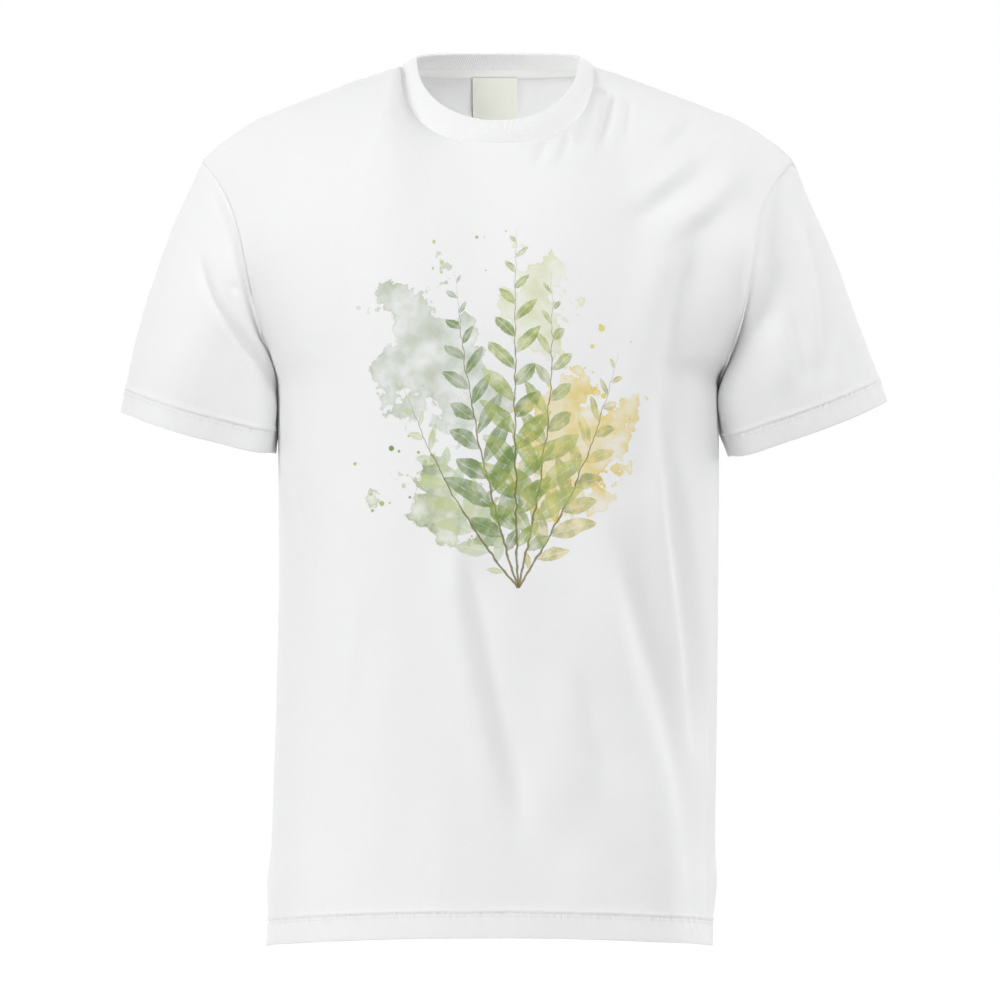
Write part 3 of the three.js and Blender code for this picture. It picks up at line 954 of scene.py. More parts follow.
class Signal:
    """A value on a wire of a node tree, which takes arithmetic."""

    def __init__(self, graph: "Graph", socket: bpy.types.NodeSocket) -> None:
        """Keeps the tree and the socket."""
        self.graph = graph
        self.socket = socket

    def __add__(self, other: "Signal | float") -> "Signal":
        """Returns the sum."""
        return self.graph.math("ADD", self, other)

    def __sub__(self, other: "Signal | float") -> "Signal":
        """Returns the difference."""
        return self.graph.math("SUBTRACT", self, other)

    def __rsub__(self, other: float) -> "Signal":
        """Returns a number less this value."""
        return self.graph.math("SUBTRACT", other, self)

    def __mul__(self, other: "Signal | float") -> "Signal":
        """Returns the product."""
        return self.graph.math("MULTIPLY", self, other)

    def __truediv__(self, other: "Signal | float") -> "Signal":
        """Returns the quotient."""
        return self.graph.math("DIVIDE", self, other)


class Graph:
    """Adds nodes to one tree and joins them up."""

    def __init__(self, tree: bpy.types.NodeTree) -> None:
        """Keeps the tree."""
        self.tree = tree

    def add(self, kind: str, **settings: object) -> bpy.types.Node:
        """Adds a node.

        Args:
            kind: The node's type.
            settings: Its properties.

        Returns:
            The node.
        """
        node = self.tree.nodes.new(kind)
        for name, value in settings.items():
            setattr(node, name, value)
        return node

    def feed(self, socket: bpy.types.NodeSocket, value: object) -> None:
        """Joins a signal to a socket, or sets the socket to a plain value."""
        if isinstance(value, Signal):
            self.tree.links.new(value.socket, socket)
        else:
            socket.default_value = value

    def out(self, node: bpy.types.Node, name: str | int = 0) -> Signal:
        """Returns one output of a node as a signal."""
        return Signal(self, node.outputs[name])

    def math(self, operation: str, *values: Signal | float, clamp: bool = False) -> Signal:
        """Adds a Math node.

        Args:
            operation: What it works out.
            values: Its inputs, in turn.
            clamp: Whether the result is held between 0 and 1.

        Returns:
            The result.
        """
        node = self.add("ShaderNodeMath", operation=operation, use_clamp=clamp)
        for socket, value in zip(node.inputs, values):
            self.feed(socket, value)
        return self.out(node)

    def ramp(self, value: Signal, low: Signal | float, high: Signal | float) -> Signal:
        """Returns 0 where value is below low, 1 above high, and an S-shaped rise between."""
        node = self.add("ShaderNodeMapRange", interpolation_type="SMOOTHSTEP")
        for name, given in (("Value", value), ("From Min", low), ("From Max", high)):
            self.feed(node.inputs[name], given)
        return self.out(node)

    def mix(self, share: Signal | float, low: object, high: object, kind: str = "RGBA") -> Signal:
        """Adds a Mix node.

        Args:
            share: 0 gives low and 1 gives high.
            low: A colour, a number or a signal.
            high: A colour, a number or a signal.
            kind: RGBA for colours and FLOAT for numbers.

        Returns:
            The mixed value.
        """
        node = self.add("ShaderNodeMix", data_type=kind)
        inputs = [s for s in node.inputs if s.enabled and s.name in ("Factor", "A", "B")]
        for socket, value in zip(inputs, (share, low, high)):
            self.feed(socket, (*value, 1) if isinstance(value, tuple) else value)
        return Signal(self, next(s for s in node.outputs if s.enabled))

    def split(self, vector: Signal) -> tuple[Signal, Signal, Signal]:
        """Returns the three parts of a vector."""
        node = self.add("ShaderNodeSeparateXYZ")
        self.feed(node.inputs[0], vector)
        return self.out(node, 0), self.out(node, 1), self.out(node, 2)

    def join(self, x: Signal | float, y: Signal | float, z: Signal | float = 0.0) -> Signal:
        """Returns a vector of three parts."""
        node = self.add("ShaderNodeCombineXYZ")
        for socket, value in zip(node.inputs, (x, y, z)):
            self.feed(socket, value)
        return self.out(node)

    def noise(self, vector: Signal, scale: Signal | float, detail: float = 2.0) -> Signal:
        """Returns noise from 0 to 1 at so many lumps a metre."""
        node = self.add("ShaderNodeTexNoise")
        for name, value in (("Vector", vector), ("Scale", scale), ("Detail", detail)):
            self.feed(node.inputs[name], value)
        return self.out(node, "Fac" if "Fac" in node.outputs else 0)

    def use(self, group: bpy.types.NodeTree, **values: object) -> bpy.types.Node:
        """Places a node group.

        Args:
            group: The group.
            values: Its inputs, by name with underscores for spaces.

        Returns:
            The group's node.
        """
        node = self.add("ShaderNodeGroup", node_tree=group)
        for name, value in values.items():
            self.feed(node.inputs[name.replace("_", " ")], value)
        return node


def new_group(
    name: str, inputs: dict[str, float | None], outputs: Iterable[str]
) -> tuple[Graph, dict[str, Signal], dict[str, bpy.types.NodeSocket]]:
    """Starts a shader node group.

    Args:
        name: The group's name.
        inputs: Each input's name and starting number, or None for a vector.
        outputs: The outputs' names; one that ends in Colour is a colour.

    Returns:
        The group's graph, its inputs as signals and its output sockets.
    """
    tree = bpy.data.node_groups.new(name, "ShaderNodeTree")
    for label, start in inputs.items():
        kind = "NodeSocketVector" if start is None else "NodeSocketFloat"
        socket = tree.interface.new_socket(label, in_out="INPUT", socket_type=kind)
        if start is not None:
            socket.default_value = start
    for label in outputs:
        kind = "NodeSocketColor" if label.endswith("Colour") else "NodeSocketFloat"
        tree.interface.new_socket(label, in_out="OUTPUT", socket_type=kind)
    graph = Graph(tree)
    entry, leave = graph.add("NodeGroupInput"), graph.add("NodeGroupOutput")
    signals = {label: graph.out(entry, label) for label in inputs}
    return graph, signals, {s.name: s for s in leave.inputs if s.name}


# -------------- shared effects


def knit_group() -> bpy.types.NodeTree:
    """Returns the group for jersey's columns of small V-shaped loops."""
    graph, given, result = new_group(
        "knit_loops", {"Vector": None, "Wale": 0.0009, "Course": 0.0007}, ("Height", "Shade")
    )
    across, along, _ = graph.split(given["Vector"])
    column = graph.math("FRACT", across / given["Wale"]) - 0.5
    leg = graph.math("ABSOLUTE", column)
    row = graph.math("FRACT", along / given["Course"] + leg * 1.1) * 2.0 - 1.0
    yarn = 1.0 - row * row
    split = graph.math("SINE", leg * (2 * math.pi))
    height = yarn * 0.5 + yarn * split * 0.5
    fuzz = graph.noise(given["Vector"], 900.0, 3.0)
    graph.feed(result["Height"], height * 0.8 + fuzz * 0.4)
    # Shade is painted shade: 0 in the low hollows between the loops, 1 on the raised yarn.
    graph.feed(result["Shade"], graph.ramp(height, 0.0, 0.6))
    return graph.tree


def mottle_group() -> bpy.types.NodeTree:
    """Returns the group for the faint crinkle and cloudiness of washed cotton."""
    graph, given, result = new_group(
        "washed_cotton", {"Vector": None, "Crinkle": 90.0, "Cloud": 9.0}, ("Height", "Tone")
    )
    x, y, _ = graph.split(given["Vector"])
    stretched = graph.join(x * 1.6, y)
    graph.feed(result["Height"], graph.noise(stretched, given["Crinkle"], 4.0))
    graph.feed(result["Tone"], graph.noise(given["Vector"], given["Cloud"], 3.0))
    return graph.tree


def weave_group() -> bpy.types.NodeTree:
    """Returns the group for slanted ridges, as of twill tape and satin ribbon."""
    graph, given, result = new_group(
        "slanted_weave",
        {"Vector": None, "Pitch": 0.0008, "Slant": 1.0, "Pick": 0.0004},
        ("Height",),
    )
    across, along, _ = graph.split(given["Vector"])
    ridge = graph.math("SINE", (across + along * given["Slant"]) / given["Pitch"] * (2 * math.pi))
    pick = graph.math("SINE", along / given["Pick"] * (2 * math.pi))
    graph.feed(result["Height"], ridge * 0.35 + pick * 0.15 + 0.5)
    return graph.tree


def sprig_group() -> bpy.types.NodeTree:
    """Returns the group for one painted sprig: a bent stem with a leaf now left, now right."""
    graph, given, result = new_group(
        "leafy_sprig",
        {
            "Vector": None, "Length": 0.2, "Bend": 0.5, "Spacing": 0.03, "Leaf": 0.05,
            "Fullness": 0.01, "Stem": 0.0011, "Number": 1.0,
        },
        ("Leaf Mask", "Stem Mask", "Tone", "Rim"),
    )
    slant = math.radians(38)
    x, y, _ = graph.split(given["Vector"])
    wobble = (graph.noise(given["Vector"], 60.0, 2.0) - 0.5) * 0.007
    fray = (graph.noise(given["Vector"], 420.0, 3.0) - 0.5) * 0.0016
    x = x - given["Bend"] * y * y + wobble
    away = graph.math("ABSOLUTE", x)
    side = graph.math("SIGN", x)
    along = y / given["Length"]
    base = y - away * (1 / math.tan(slant))
    stagger = side * 0.25
    cell = graph.math("FLOOR", base / given["Spacing"] - stagger + 0.5)
    root = (cell + stagger) * given["Spacing"]
    offset = base - root
    across = offset * math.sin(slant)
    reach = away * (1 / math.sin(slant)) + offset * math.cos(slant)
    seat = root / given["Length"]
    draw = graph.add("ShaderNodeTexWhiteNoise", noise_dimensions="3D")
    graph.feed(draw.inputs["Vector"], graph.join(cell, side, given["Number"]))
    chance = graph.out(draw, "Value")
    grown = graph.ramp(seat, -0.02, 0.25) * (1.15 - seat)
    size = given["Leaf"] * grown * (chance * 0.35 + 0.75)
    share = reach / size
    bowed = across + share * share * size * 0.10
    half = given["Fullness"] * grown * (share - share * share) * 4.0
    width = graph.math("ABSOLUTE", bowed)
    present = graph.math("GREATER_THAN", seat, 0.08) * graph.math("LESS_THAN", seat, 0.97)
    within = graph.math("GREATER_THAN", share, 0.0) * graph.math("LESS_THAN", share, 1.0)
    edge = half - width + fray
    leaf = graph.ramp(edge, 0.0, 0.0007) * present * within
    vein = graph.ramp(width, 0.0001, 0.0006)
    rim = 1.0 - graph.ramp(edge, 0.0002, 0.0016)
    stem_width = given["Stem"] * (1.2 - along)
    on_stem = graph.math("GREATER_THAN", y, 0.0) * graph.math("LESS_THAN", along, 1.0)
    stem = graph.ramp(stem_width - away, 0.0, 0.0004) * on_stem
    graph.feed(result["Leaf Mask"], leaf * (vein * 0.45 + 0.55))
    graph.feed(result["Stem Mask"], stem)
    graph.feed(result["Tone"], chance * 0.6 + share * 0.4)
    graph.feed(result["Rim"], rim)
    return graph.tree


def wash_group() -> bpy.types.NodeTree:
    """Returns the group for a blot of thin paint with a ragged, darker rim."""
    graph, given, result = new_group(
        "thin_wash", {"Vector": None, "Flat": None, "Ragged": 1.0}, ("Mask", "Tone", "Rim")
    )
    x, y, _ = graph.split(given["Vector"])
    away = graph.math("SQRT", x * x + y * y)
    lobes = (graph.noise(given["Flat"], 24.0, 3.0) - 0.5) * 2.6
    fray = (graph.noise(given["Flat"], 150.0, 5.0) - 0.5) * 0.7
    inside = 0.8 - away + (lobes + fray) * given["Ragged"]
    clouds = graph.noise(given["Flat"], 42.0, 4.0)
    grain = graph.noise(given["Flat"], 700.0, 3.0)
    thin = graph.ramp(clouds, 0.30, 0.68) * 0.75 + 0.25
    rim = graph.ramp(inside, 0.0, 0.04) * (1.0 - graph.ramp(inside, 0.03, 0.2))
    graph.feed(result["Mask"], graph.ramp(inside, 0.0, 0.07) * thin * (grain * 0.5 + 0.75))
    graph.feed(result["Tone"], clouds * 2.2 - 0.6)
    graph.feed(result["Rim"], rim)
    return graph.tree


def splash_group() -> bpy.types.NodeTree:
    """Returns the group for fine drops of paint, thick in the middle of a patch."""
    graph, given, result = new_group(
        "fine_splashes", {"Vector": None, "Flat": None, "Scale": 120.0}, ("Mask", "Tone")
    )
    x, y, _ = graph.split(given["Vector"])
    near = 1.0 - graph.ramp(graph.math("SQRT", x * x + y * y), 0.35, 1.0)
    cells = graph.add("ShaderNodeTexVoronoi")
    graph.feed(cells.inputs["Vector"], given["Flat"])
    graph.feed(cells.inputs["Scale"], given["Scale"])
    chance, tone, _ = graph.split(graph.out(cells, "Color"))
    radius = (chance * chance * chance * 0.42 - 0.03) * near
    graph.feed(result["Mask"], graph.ramp(radius - graph.out(cells, "Distance"), 0.0, 0.03))
    graph.feed(result["Tone"], tone)
    return graph.tree


# -------------- finishes


@dataclass(frozen=True)
class Blot:
    """A blot of thin paint on the chest: its middle, half sizes, slant in degrees and colours."""

    middle: Place
    size: Place
    slant: float
    deep: Colour
    light: Colour
    strength: float = 0.6


@dataclass(frozen=True)
class Sprig:
    """One painted sprig on the chest.

    Attributes:
        root: Where its stem starts, on the flat pattern.
        heading: The slant of the stem in degrees.
        leaf: The length of its largest leaves.
        fullness: Half the width of those leaves.
    """

    root: Place
    heading: float
    length: float
    bend: float
    leaf: float
    fullness: float
    deep: Colour
    light: Colour


SAGE: Colour = (0.30, 0.38, 0.20)
MOSS: Colour = (0.16, 0.26, 0.06)
LIME: Colour = (0.56, 0.62, 0.16)
STRAW: Colour = (0.88, 0.72, 0.20)
MIST: Colour = (0.62, 0.70, 0.60)
BARK: Colour = (0.20, 0.17, 0.05)

SPRAY_ROOT: Place = (0.018, -0.178)
SPRIGS = (
    Sprig(SPRAY_ROOT, -40, 0.200, 0.9, 0.048, 0.0085, MIST, LIME),
    Sprig(SPRAY_ROOT, 34, 0.215, -0.9, 0.050, 0.0090, SAGE, STRAW),
    Sprig(SPRAY_ROOT, -18, 0.275, 0.4, 0.056, 0.0100, MOSS, SAGE),
    Sprig(SPRAY_ROOT, 14, 0.270, -0.5, 0.056, 0.0100, SAGE, LIME),
    Sprig(SPRAY_ROOT, -2, 0.310, 0.1, 0.060, 0.0108, MOSS, LIME),
)
BLOTS = (
    Blot((-0.052, 0.012), (0.060, 0.085), -24, SAGE, MIST, 0.55),
    Blot((0.060, -0.058), (0.052, 0.070), 30, (0.78, 0.60, 0.10), STRAW, 0.75),
    Blot((-0.038, -0.104), (0.062, 0.040), 14, MOSS, LIME, 0.70),
    Blot((0.036, 0.062), (0.036, 0.058), -8, LIME, (0.80, 0.82, 0.45), 0.50),
)
SPLASHES = (
    Blot((-0.098, -0.070), (0.050, 0.075), 20, MOSS, LIME, 0.9),
    Blot((0.100, 0.010), (0.050, 0.085), -15, LIME, STRAW, 0.9),
    Blot((-0.030, 0.112), (0.070, 0.040), 0, SAGE, LIME, 0.8),
)


@dataclass(frozen=True)
class ClothFinish:
    """Cotton: its colour, how rough it is and how high its surface stands.

    Attributes:
        name: The material's name.
        colour: The colour of clean cloth.
        shade: The colour of the painted shade in the low hollows between loops, ridges or twists; where
            a finish adds cloudy tone, that random tone also mixes towards it.
        roughness: The roughness of the yarn.
        sheen: How much the fuzz catches light from the side.
        relief: The height of the loops or ridges, in metres.
        crinkle: The height of the faint crinkle, in metres.
    """

    name: str
    colour: Colour
    shade: Colour
    roughness: float = 0.92
    sheen: float = 0.12
    relief: float = 0.00012
    crinkle: float = 0.00022

    def start(self) -> tuple[Graph, bpy.types.Material, bpy.types.Node, Signal]:
        """Returns a fresh material's graph, the material, its shader and its flat pattern."""
        material = bpy.data.materials.new(self.name)
        material.use_nodes = True
        graph = Graph(material.node_tree)
        shader = next(n for n in material.node_tree.nodes if n.type == "BSDF_PRINCIPLED")
        shader.inputs["Roughness"].default_value = self.roughness
        shader.inputs["Sheen Weight"].default_value = self.sheen
        shader.inputs["Sheen Roughness"].default_value = 0.5
        shader.inputs["Specular IOR Level"].default_value = 0.25
        return graph, material, shader, graph.out(graph.add("ShaderNodeUVMap", uv_map=FLAT_MAP))

    def end(
        self, graph: Graph, shader: bpy.types.Node, colour: Signal, *heights: tuple[Signal, float]
    ) -> None:
        """Feeds the shader.

        Args:
            graph: The material's graph.
            shader: Its shader.
            colour: The base colour.
            heights: Heights to stack into one normal, each with its distance in metres.
        """
        graph.feed(shader.inputs["Base Color"], colour)
        normal: Signal | None = None
        for height, distance in heights:
            node = graph.add("ShaderNodeBump")
            node.inputs["Strength"].default_value = 1.0
            node.inputs["Distance"].default_value = distance
            graph.feed(node.inputs["Height"], height)
            if normal is not None:
                graph.feed(node.inputs["Normal"], normal)
            normal = graph.out(node)
        graph.feed(shader.inputs["Normal"], normal)


@dataclass(frozen=True)
class Printer:
    """Prints motifs over the colour of one material, placed on its flat pattern."""

    graph: Graph
    effects: "Effects"
    flat: Signal

    def local(self, middle: Place, slant: float, size: Place = (1, 1)) -> Signal:
        """Moves, turns and scales the flat pattern onto one motif.

        Args:
            middle: Where the motif has its zero.
            slant: Its slant in degrees.
            size: What 1 stands for across and along it, in metres.

        Returns:
            Places within the motif.
        """
        place = self.graph.add("ShaderNodeMapping", vector_type="TEXTURE")
        self.graph.feed(place.inputs["Vector"], self.flat)
        place.inputs["Location"].default_value = (*middle, 0)
        place.inputs["Rotation"].default_value = (0, 0, math.radians(-slant))
        place.inputs["Scale"].default_value = (*size, 1)
        return self.graph.out(place)

    def blot(self, below: Signal, blot: Blot) -> Signal:
        """Returns the colour below with one blot over it."""
        graph, local = self.graph, self.local(blot.middle, blot.slant, blot.size)
        marks = graph.use(self.effects.wash, Vector=local, Flat=self.flat)
        paint = graph.mix(graph.out(marks, "Tone"), blot.light, blot.deep)
        paint = graph.mix(graph.out(marks, "Rim") * 0.4, paint, blot.deep)
        cover = (graph.out(marks, "Mask") + graph.out(marks, "Rim") * 0.25) * blot.strength
        return graph.mix(cover, below, paint)

    def splash(self, below: Signal, splash: Blot) -> Signal:
        """Returns the colour below with one patch of drops over it."""
        graph, local = self.graph, self.local(splash.middle, splash.slant, splash.size)
        marks = graph.use(self.effects.splash, Vector=local, Flat=self.flat)
        paint = graph.mix(graph.out(marks, "Tone"), splash.light, splash.deep)
        return graph.mix(graph.out(marks, "Mask") * splash.strength, below, paint)

    def sprig(self, below: Signal, sprig: Sprig, number: int) -> Signal:
        """Prints one sprig.

        Args:
            below: The colour so far.
            sprig: The sprig.
            number: Its number, which settles its chance differences.

        Returns:
            The colour with the sprig.
        """
        graph, local = self.graph, self.local(sprig.root, sprig.heading)
        marks = graph.use(
            self.effects.sprig, Vector=local, Length=sprig.length, Bend=sprig.bend,
            Spacing=sprig.leaf * 0.46, Leaf=sprig.leaf, Fullness=sprig.fullness,
            Number=float(number),
        )
        pigment = graph.ramp(graph.noise(local, 75.0, 5.0), 0.32, 0.68)
        tone = graph.out(marks, "Tone") * 0.6 + pigment * 0.6 - 0.1
        paint = graph.mix(tone, sprig.deep, sprig.light)
        paint = graph.mix(graph.out(marks, "Rim") * 0.35, paint, sprig.deep)
        cover = graph.out(marks, "Leaf Mask") * (pigment * -0.4 + 0.9)
        colour = graph.mix(cover, below, paint)
        return graph.mix(graph.out(marks, "Stem Mask") * 0.85, colour, BARK)


@dataclass(frozen=True)
class JerseyFinish(ClothFinish):
    """Plain knitted cotton, with a printed spray of sprigs where it is wanted."""

    wale: float = 0.00092
    course: float = 0.00072
    sprigs: tuple[Sprig, ...] = ()
    blots: tuple[Blot, ...] = ()
    splashes: tuple[Blot, ...] = ()

    def make(self, effects: "Effects") -> bpy.types.Material:
        """Returns the material."""
        graph, material, shader, flat = self.start()
        loops = graph.use(effects.knit, Vector=flat, Wale=self.wale, Course=self.course)
        wash = graph.use(effects.mottle, Vector=flat)
        # Painted shade between the loops, mixed with the random cloudy tone of washed cotton.
        shade = graph.out(loops, "Shade") * 0.7 + graph.out(wash, "Tone") * 0.45
        colour = graph.mix(shade, self.shade, self.colour)
        printer = Printer(graph, effects, flat)
        for blot in self.blots:
            colour = printer.blot(colour, blot)
        for splash in self.splashes:
            colour = printer.splash(colour, splash)
        for number, sprig in enumerate(self.sprigs, start=1):
            colour = printer.sprig(colour, sprig, number)
        crinkle, knit = graph.out(wash, "Height"), graph.out(loops, "Height")
        self.end(graph, shader, colour, (crinkle, self.crinkle), (knit, self.relief))
        return material


@dataclass(frozen=True)
class WovenFinish(ClothFinish):
    """A narrow woven: twill tape, or the satin ribbon of a label."""

    pitch: float = 0.0011
    slant: float = 1.0
    pick: float = 0.00045

    def make(self, effects: "Effects") -> bpy.types.Material:
        """Returns the material."""
        graph, material, shader, flat = self.start()
        weave = graph.use(
            effects.weave, Vector=flat, Pitch=self.pitch, Slant=self.slant, Pick=self.pick
        )
        wash = graph.use(effects.mottle, Vector=flat)
        height = graph.out(weave, "Height")
        # Painted shade in the weave's low grooves, mixed with random cloudy tone.
        share = height * 0.6 + graph.out(wash, "Tone") * 0.5
        colour, crinkle = graph.mix(share, self.shade, self.colour), graph.out(wash, "Height")
        self.end(graph, shader, colour, (crinkle, self.crinkle), (height, self.relief))
        return material


@dataclass(frozen=True)
class ThreadFinish(ClothFinish):
    """Twisted sewing thread."""

    twist: float = 0.0007

    def make(self, effects: "Effects") -> bpy.types.Material:
        """Returns the material."""
        graph, material, shader, _ = self.start()
        place = graph.out(graph.add("ShaderNodeTexCoord"), "Object")
        weave = graph.use(
            effects.weave, Vector=place, Pitch=self.twist, Slant=0.6, Pick=self.twist * 0.5
        )
        height = graph.out(weave, "Height")
        # Painted shade in the grooves of the twist.
        colour = graph.mix(height, self.shade, self.colour)
        self.end(graph, shader, colour, (height, self.relief))
        return material


@dataclass(frozen=True)
class Effects:
    """The node groups that the finishes share."""

    knit: bpy.types.NodeTree = field(default_factory=knit_group)
    mottle: bpy.types.NodeTree = field(default_factory=mottle_group)
    weave: bpy.types.NodeTree = field(default_factory=weave_group)
    sprig: bpy.types.NodeTree = field(default_factory=sprig_group)
    wash: bpy.types.NodeTree = field(default_factory=wash_group)
    splash: bpy.types.NodeTree = field(default_factory=splash_group)


WHITE: Colour = (0.930, 0.931, 0.933)
# The painted shade between the loops, and the darker end of the random cloudy tone.
SHADED_WHITE: Colour = (0.860, 0.862, 0.868)


class Wardrobe:
    """Every material of the shirt, made once."""

    def __init__(self) -> None:
        """Makes the materials."""
        effects = Effects()
        jersey = JerseyFinish("white_jersey", WHITE, SHADED_WHITE)
        self.jersey = jersey.make(effects)
        printed = replace(
            jersey, name="printed_jersey", sprigs=SPRIGS, blots=BLOTS, splashes=SPLASHES
        )
        self.printed = printed.make(effects)
        rib = replace(jersey, name="white_rib", wale=0.0009, course=0.0008, crinkle=0.00012)
        self.rib = rib.make(effects)
        self.tape = WovenFinish("twill_tape", (0.91, 0.91, 0.90), (0.80, 0.80, 0.79)).make(effects)
        self.label = WovenFinish(
            "label_satin", (0.86, 0.87, 0.79), (0.76, 0.77, 0.68), roughness=0.55,
            sheen=0.05, relief=0.00005, pitch=0.0005, slant=0.35, pick=0.0003,
        ).make(effects)
        self.thread = ThreadFinish(
            "white_thread", (0.88, 0.88, 0.88), (0.70, 0.70, 0.71), roughness=0.6, relief=0.00006
        ).make(effects)


# -------------- stitches


@dataclass(frozen=True)
class Needle:
    """Sews rows of stitches: one small capsule, copied along a line."""

    pitch: float = 0.0030
    length: float = 0.0025
    width: float = 0.00055
    height: float = 0.00040

    def capsule(self) -> tuple[np.ndarray, np.ndarray]:
        """Models one stitch at the origin, along X, and takes it away again.

        Returns:
            Its points and its triangles, in the same order at each run.
        """
        deselect()
        bpy.ops.mesh.primitive_uv_sphere_add(segments=6, ring_count=5, radius=0.5)
        stitch = bpy.context.object
        in_edit_mode(
            stitch,
            lambda: bpy.ops.transform.resize(value=(self.width, self.height, self.length)),
            lambda: bpy.ops.mesh.quads_convert_to_tris(),
        )
        points = np.array([v.co[:] for v in stitch.data.vertices])[:, [2, 0, 1]]
        corners = [list(p.vertices) for p in stitch.data.polygons]
        firsts = [c.index(min(c)) for c in corners]
        triangles = np.array(sorted(c[k:] + c[:k] for c, k in zip(corners, firsts)))
        bpy.data.objects.remove(stitch, do_unlink=True)
        return points, triangles

    def sew(self, name: str, rows: Sequence[tuple[np.ndarray, np.ndarray]]) -> bpy.types.Object:
        """Sews stitches along rows.

        Args:
            name: The piece's name.
            rows: For each row, points along it and the cloth's outward normals there.

        Returns:
            One piece with all the stitches.
        """
        points, triangles = self.capsule()
        made: list[np.ndarray] = []
        for line, normals in rows:
            run = np.linalg.norm(np.diff(line, axis=0), axis=1).cumsum()
            run = np.concatenate([[0], run])
            count = max(1, int(run[-1] / self.pitch))
            starts = (np.arange(count) + 0.5) * run[-1] / count
            at, ahead, up = (
                np.stack([np.interp(starts + shift, run, values[:, k]) for k in range(3)], axis=1)
                for shift, values in ((0, line), (self.length * 0.4, line), (0, normals))
            )
            along = unit(ahead - at)
            up = unit(up - along * (up * along).sum(axis=1, keepdims=True))
            beside = np.cross(up, along)
            axes = np.stack([along, beside, up], axis=1)
            made.append(at[:, None] + np.einsum("pk,nkc->npc", points, axes))
        every = np.concatenate(made)
        faces = triangles[None] + (np.arange(len(every)) * len(points))[:, None, None]
        mesh = bpy.data.meshes.new(name)
        mesh.from_pydata(every.reshape(-1, 3).tolist(), [], faces.reshape(-1, 3).tolist())
        piece = bpy.data.objects.new(name, mesh)
        bpy.context.collection.objects.link(piece)
        in_edit_mode(piece, lambda: bpy.ops.mesh.normals_make_consistent(inside=False))
        pick(piece)
        bpy.ops.object.shade_smooth()
        return piece


@dataclass(frozen=True)
class Hem:
    """A turned-up hem: a folded band under two rows of stitches.

    Attributes:
        width: The distance from the folded edge to the upper stitches.
        under: How far the band runs on under the cloth.
        row_gap: The distance between the rows of stitches.
    """

    width: float
    under: float = 0.0016
    row_gap: float = 0.0030

    def stitch_rows(self, guide: Guide) -> list[tuple[np.ndarray, np.ndarray]]:
        """Returns both rows of stitches as points and normals."""
        rows = []
        for above in (self.width, self.width - self.row_gap):
            cloth = guide(np.array([above, above - 0.0001]))
            rows.append((cloth.points[0], cloth.outward[0]))
        return rows

    def build(self, name: str, guide: Guide, wardrobe: Wardrobe) -> list[bpy.types.Object]:
        """Makes and dresses the band and its stitches.

        Args:
            name: The name of the piece of cloth that the hem ends.
            guide: Gives the cloth's outer side at distances from its edge.
            wardrobe: The materials.

        Returns:
            The band and the stitches.
        """
        section = FoldedBand().wrap(guide, self.width, self.under)
        band = cloth_object(f"{name}_hem", section, tube=True)
        soften(band)
        dress(band, wardrobe.jersey, "jersey")
        thread = Needle().sew(f"{name}_hem_stitches", self.stitch_rows(guide))
        dress(thread, wardrobe.thread, "jersey")
        return [band, thread]


# -------------- the body


@dataclass(frozen=True)
class SeamDips:
    """How the cloth lies beside a body panel's seams.

    Attributes:
        reach: How fast the dips end.
        roll_reach: How far from the armhole the roll is highest.
        neck_lift: How far it stands up beside the right half of the neck.
        lift_from: Where across the panel the lift starts and is full.
    """

    side: float = 0.0006
    shoulder: float = 0.0007
    neck: float = 0.0002
    reach: float = 0.0016
    roll_reach: float = 0.006
    neck_lift: float = 0.0012
    lift_reach: float = 0.008
    lift_from: Place = (0.18, 0.34)


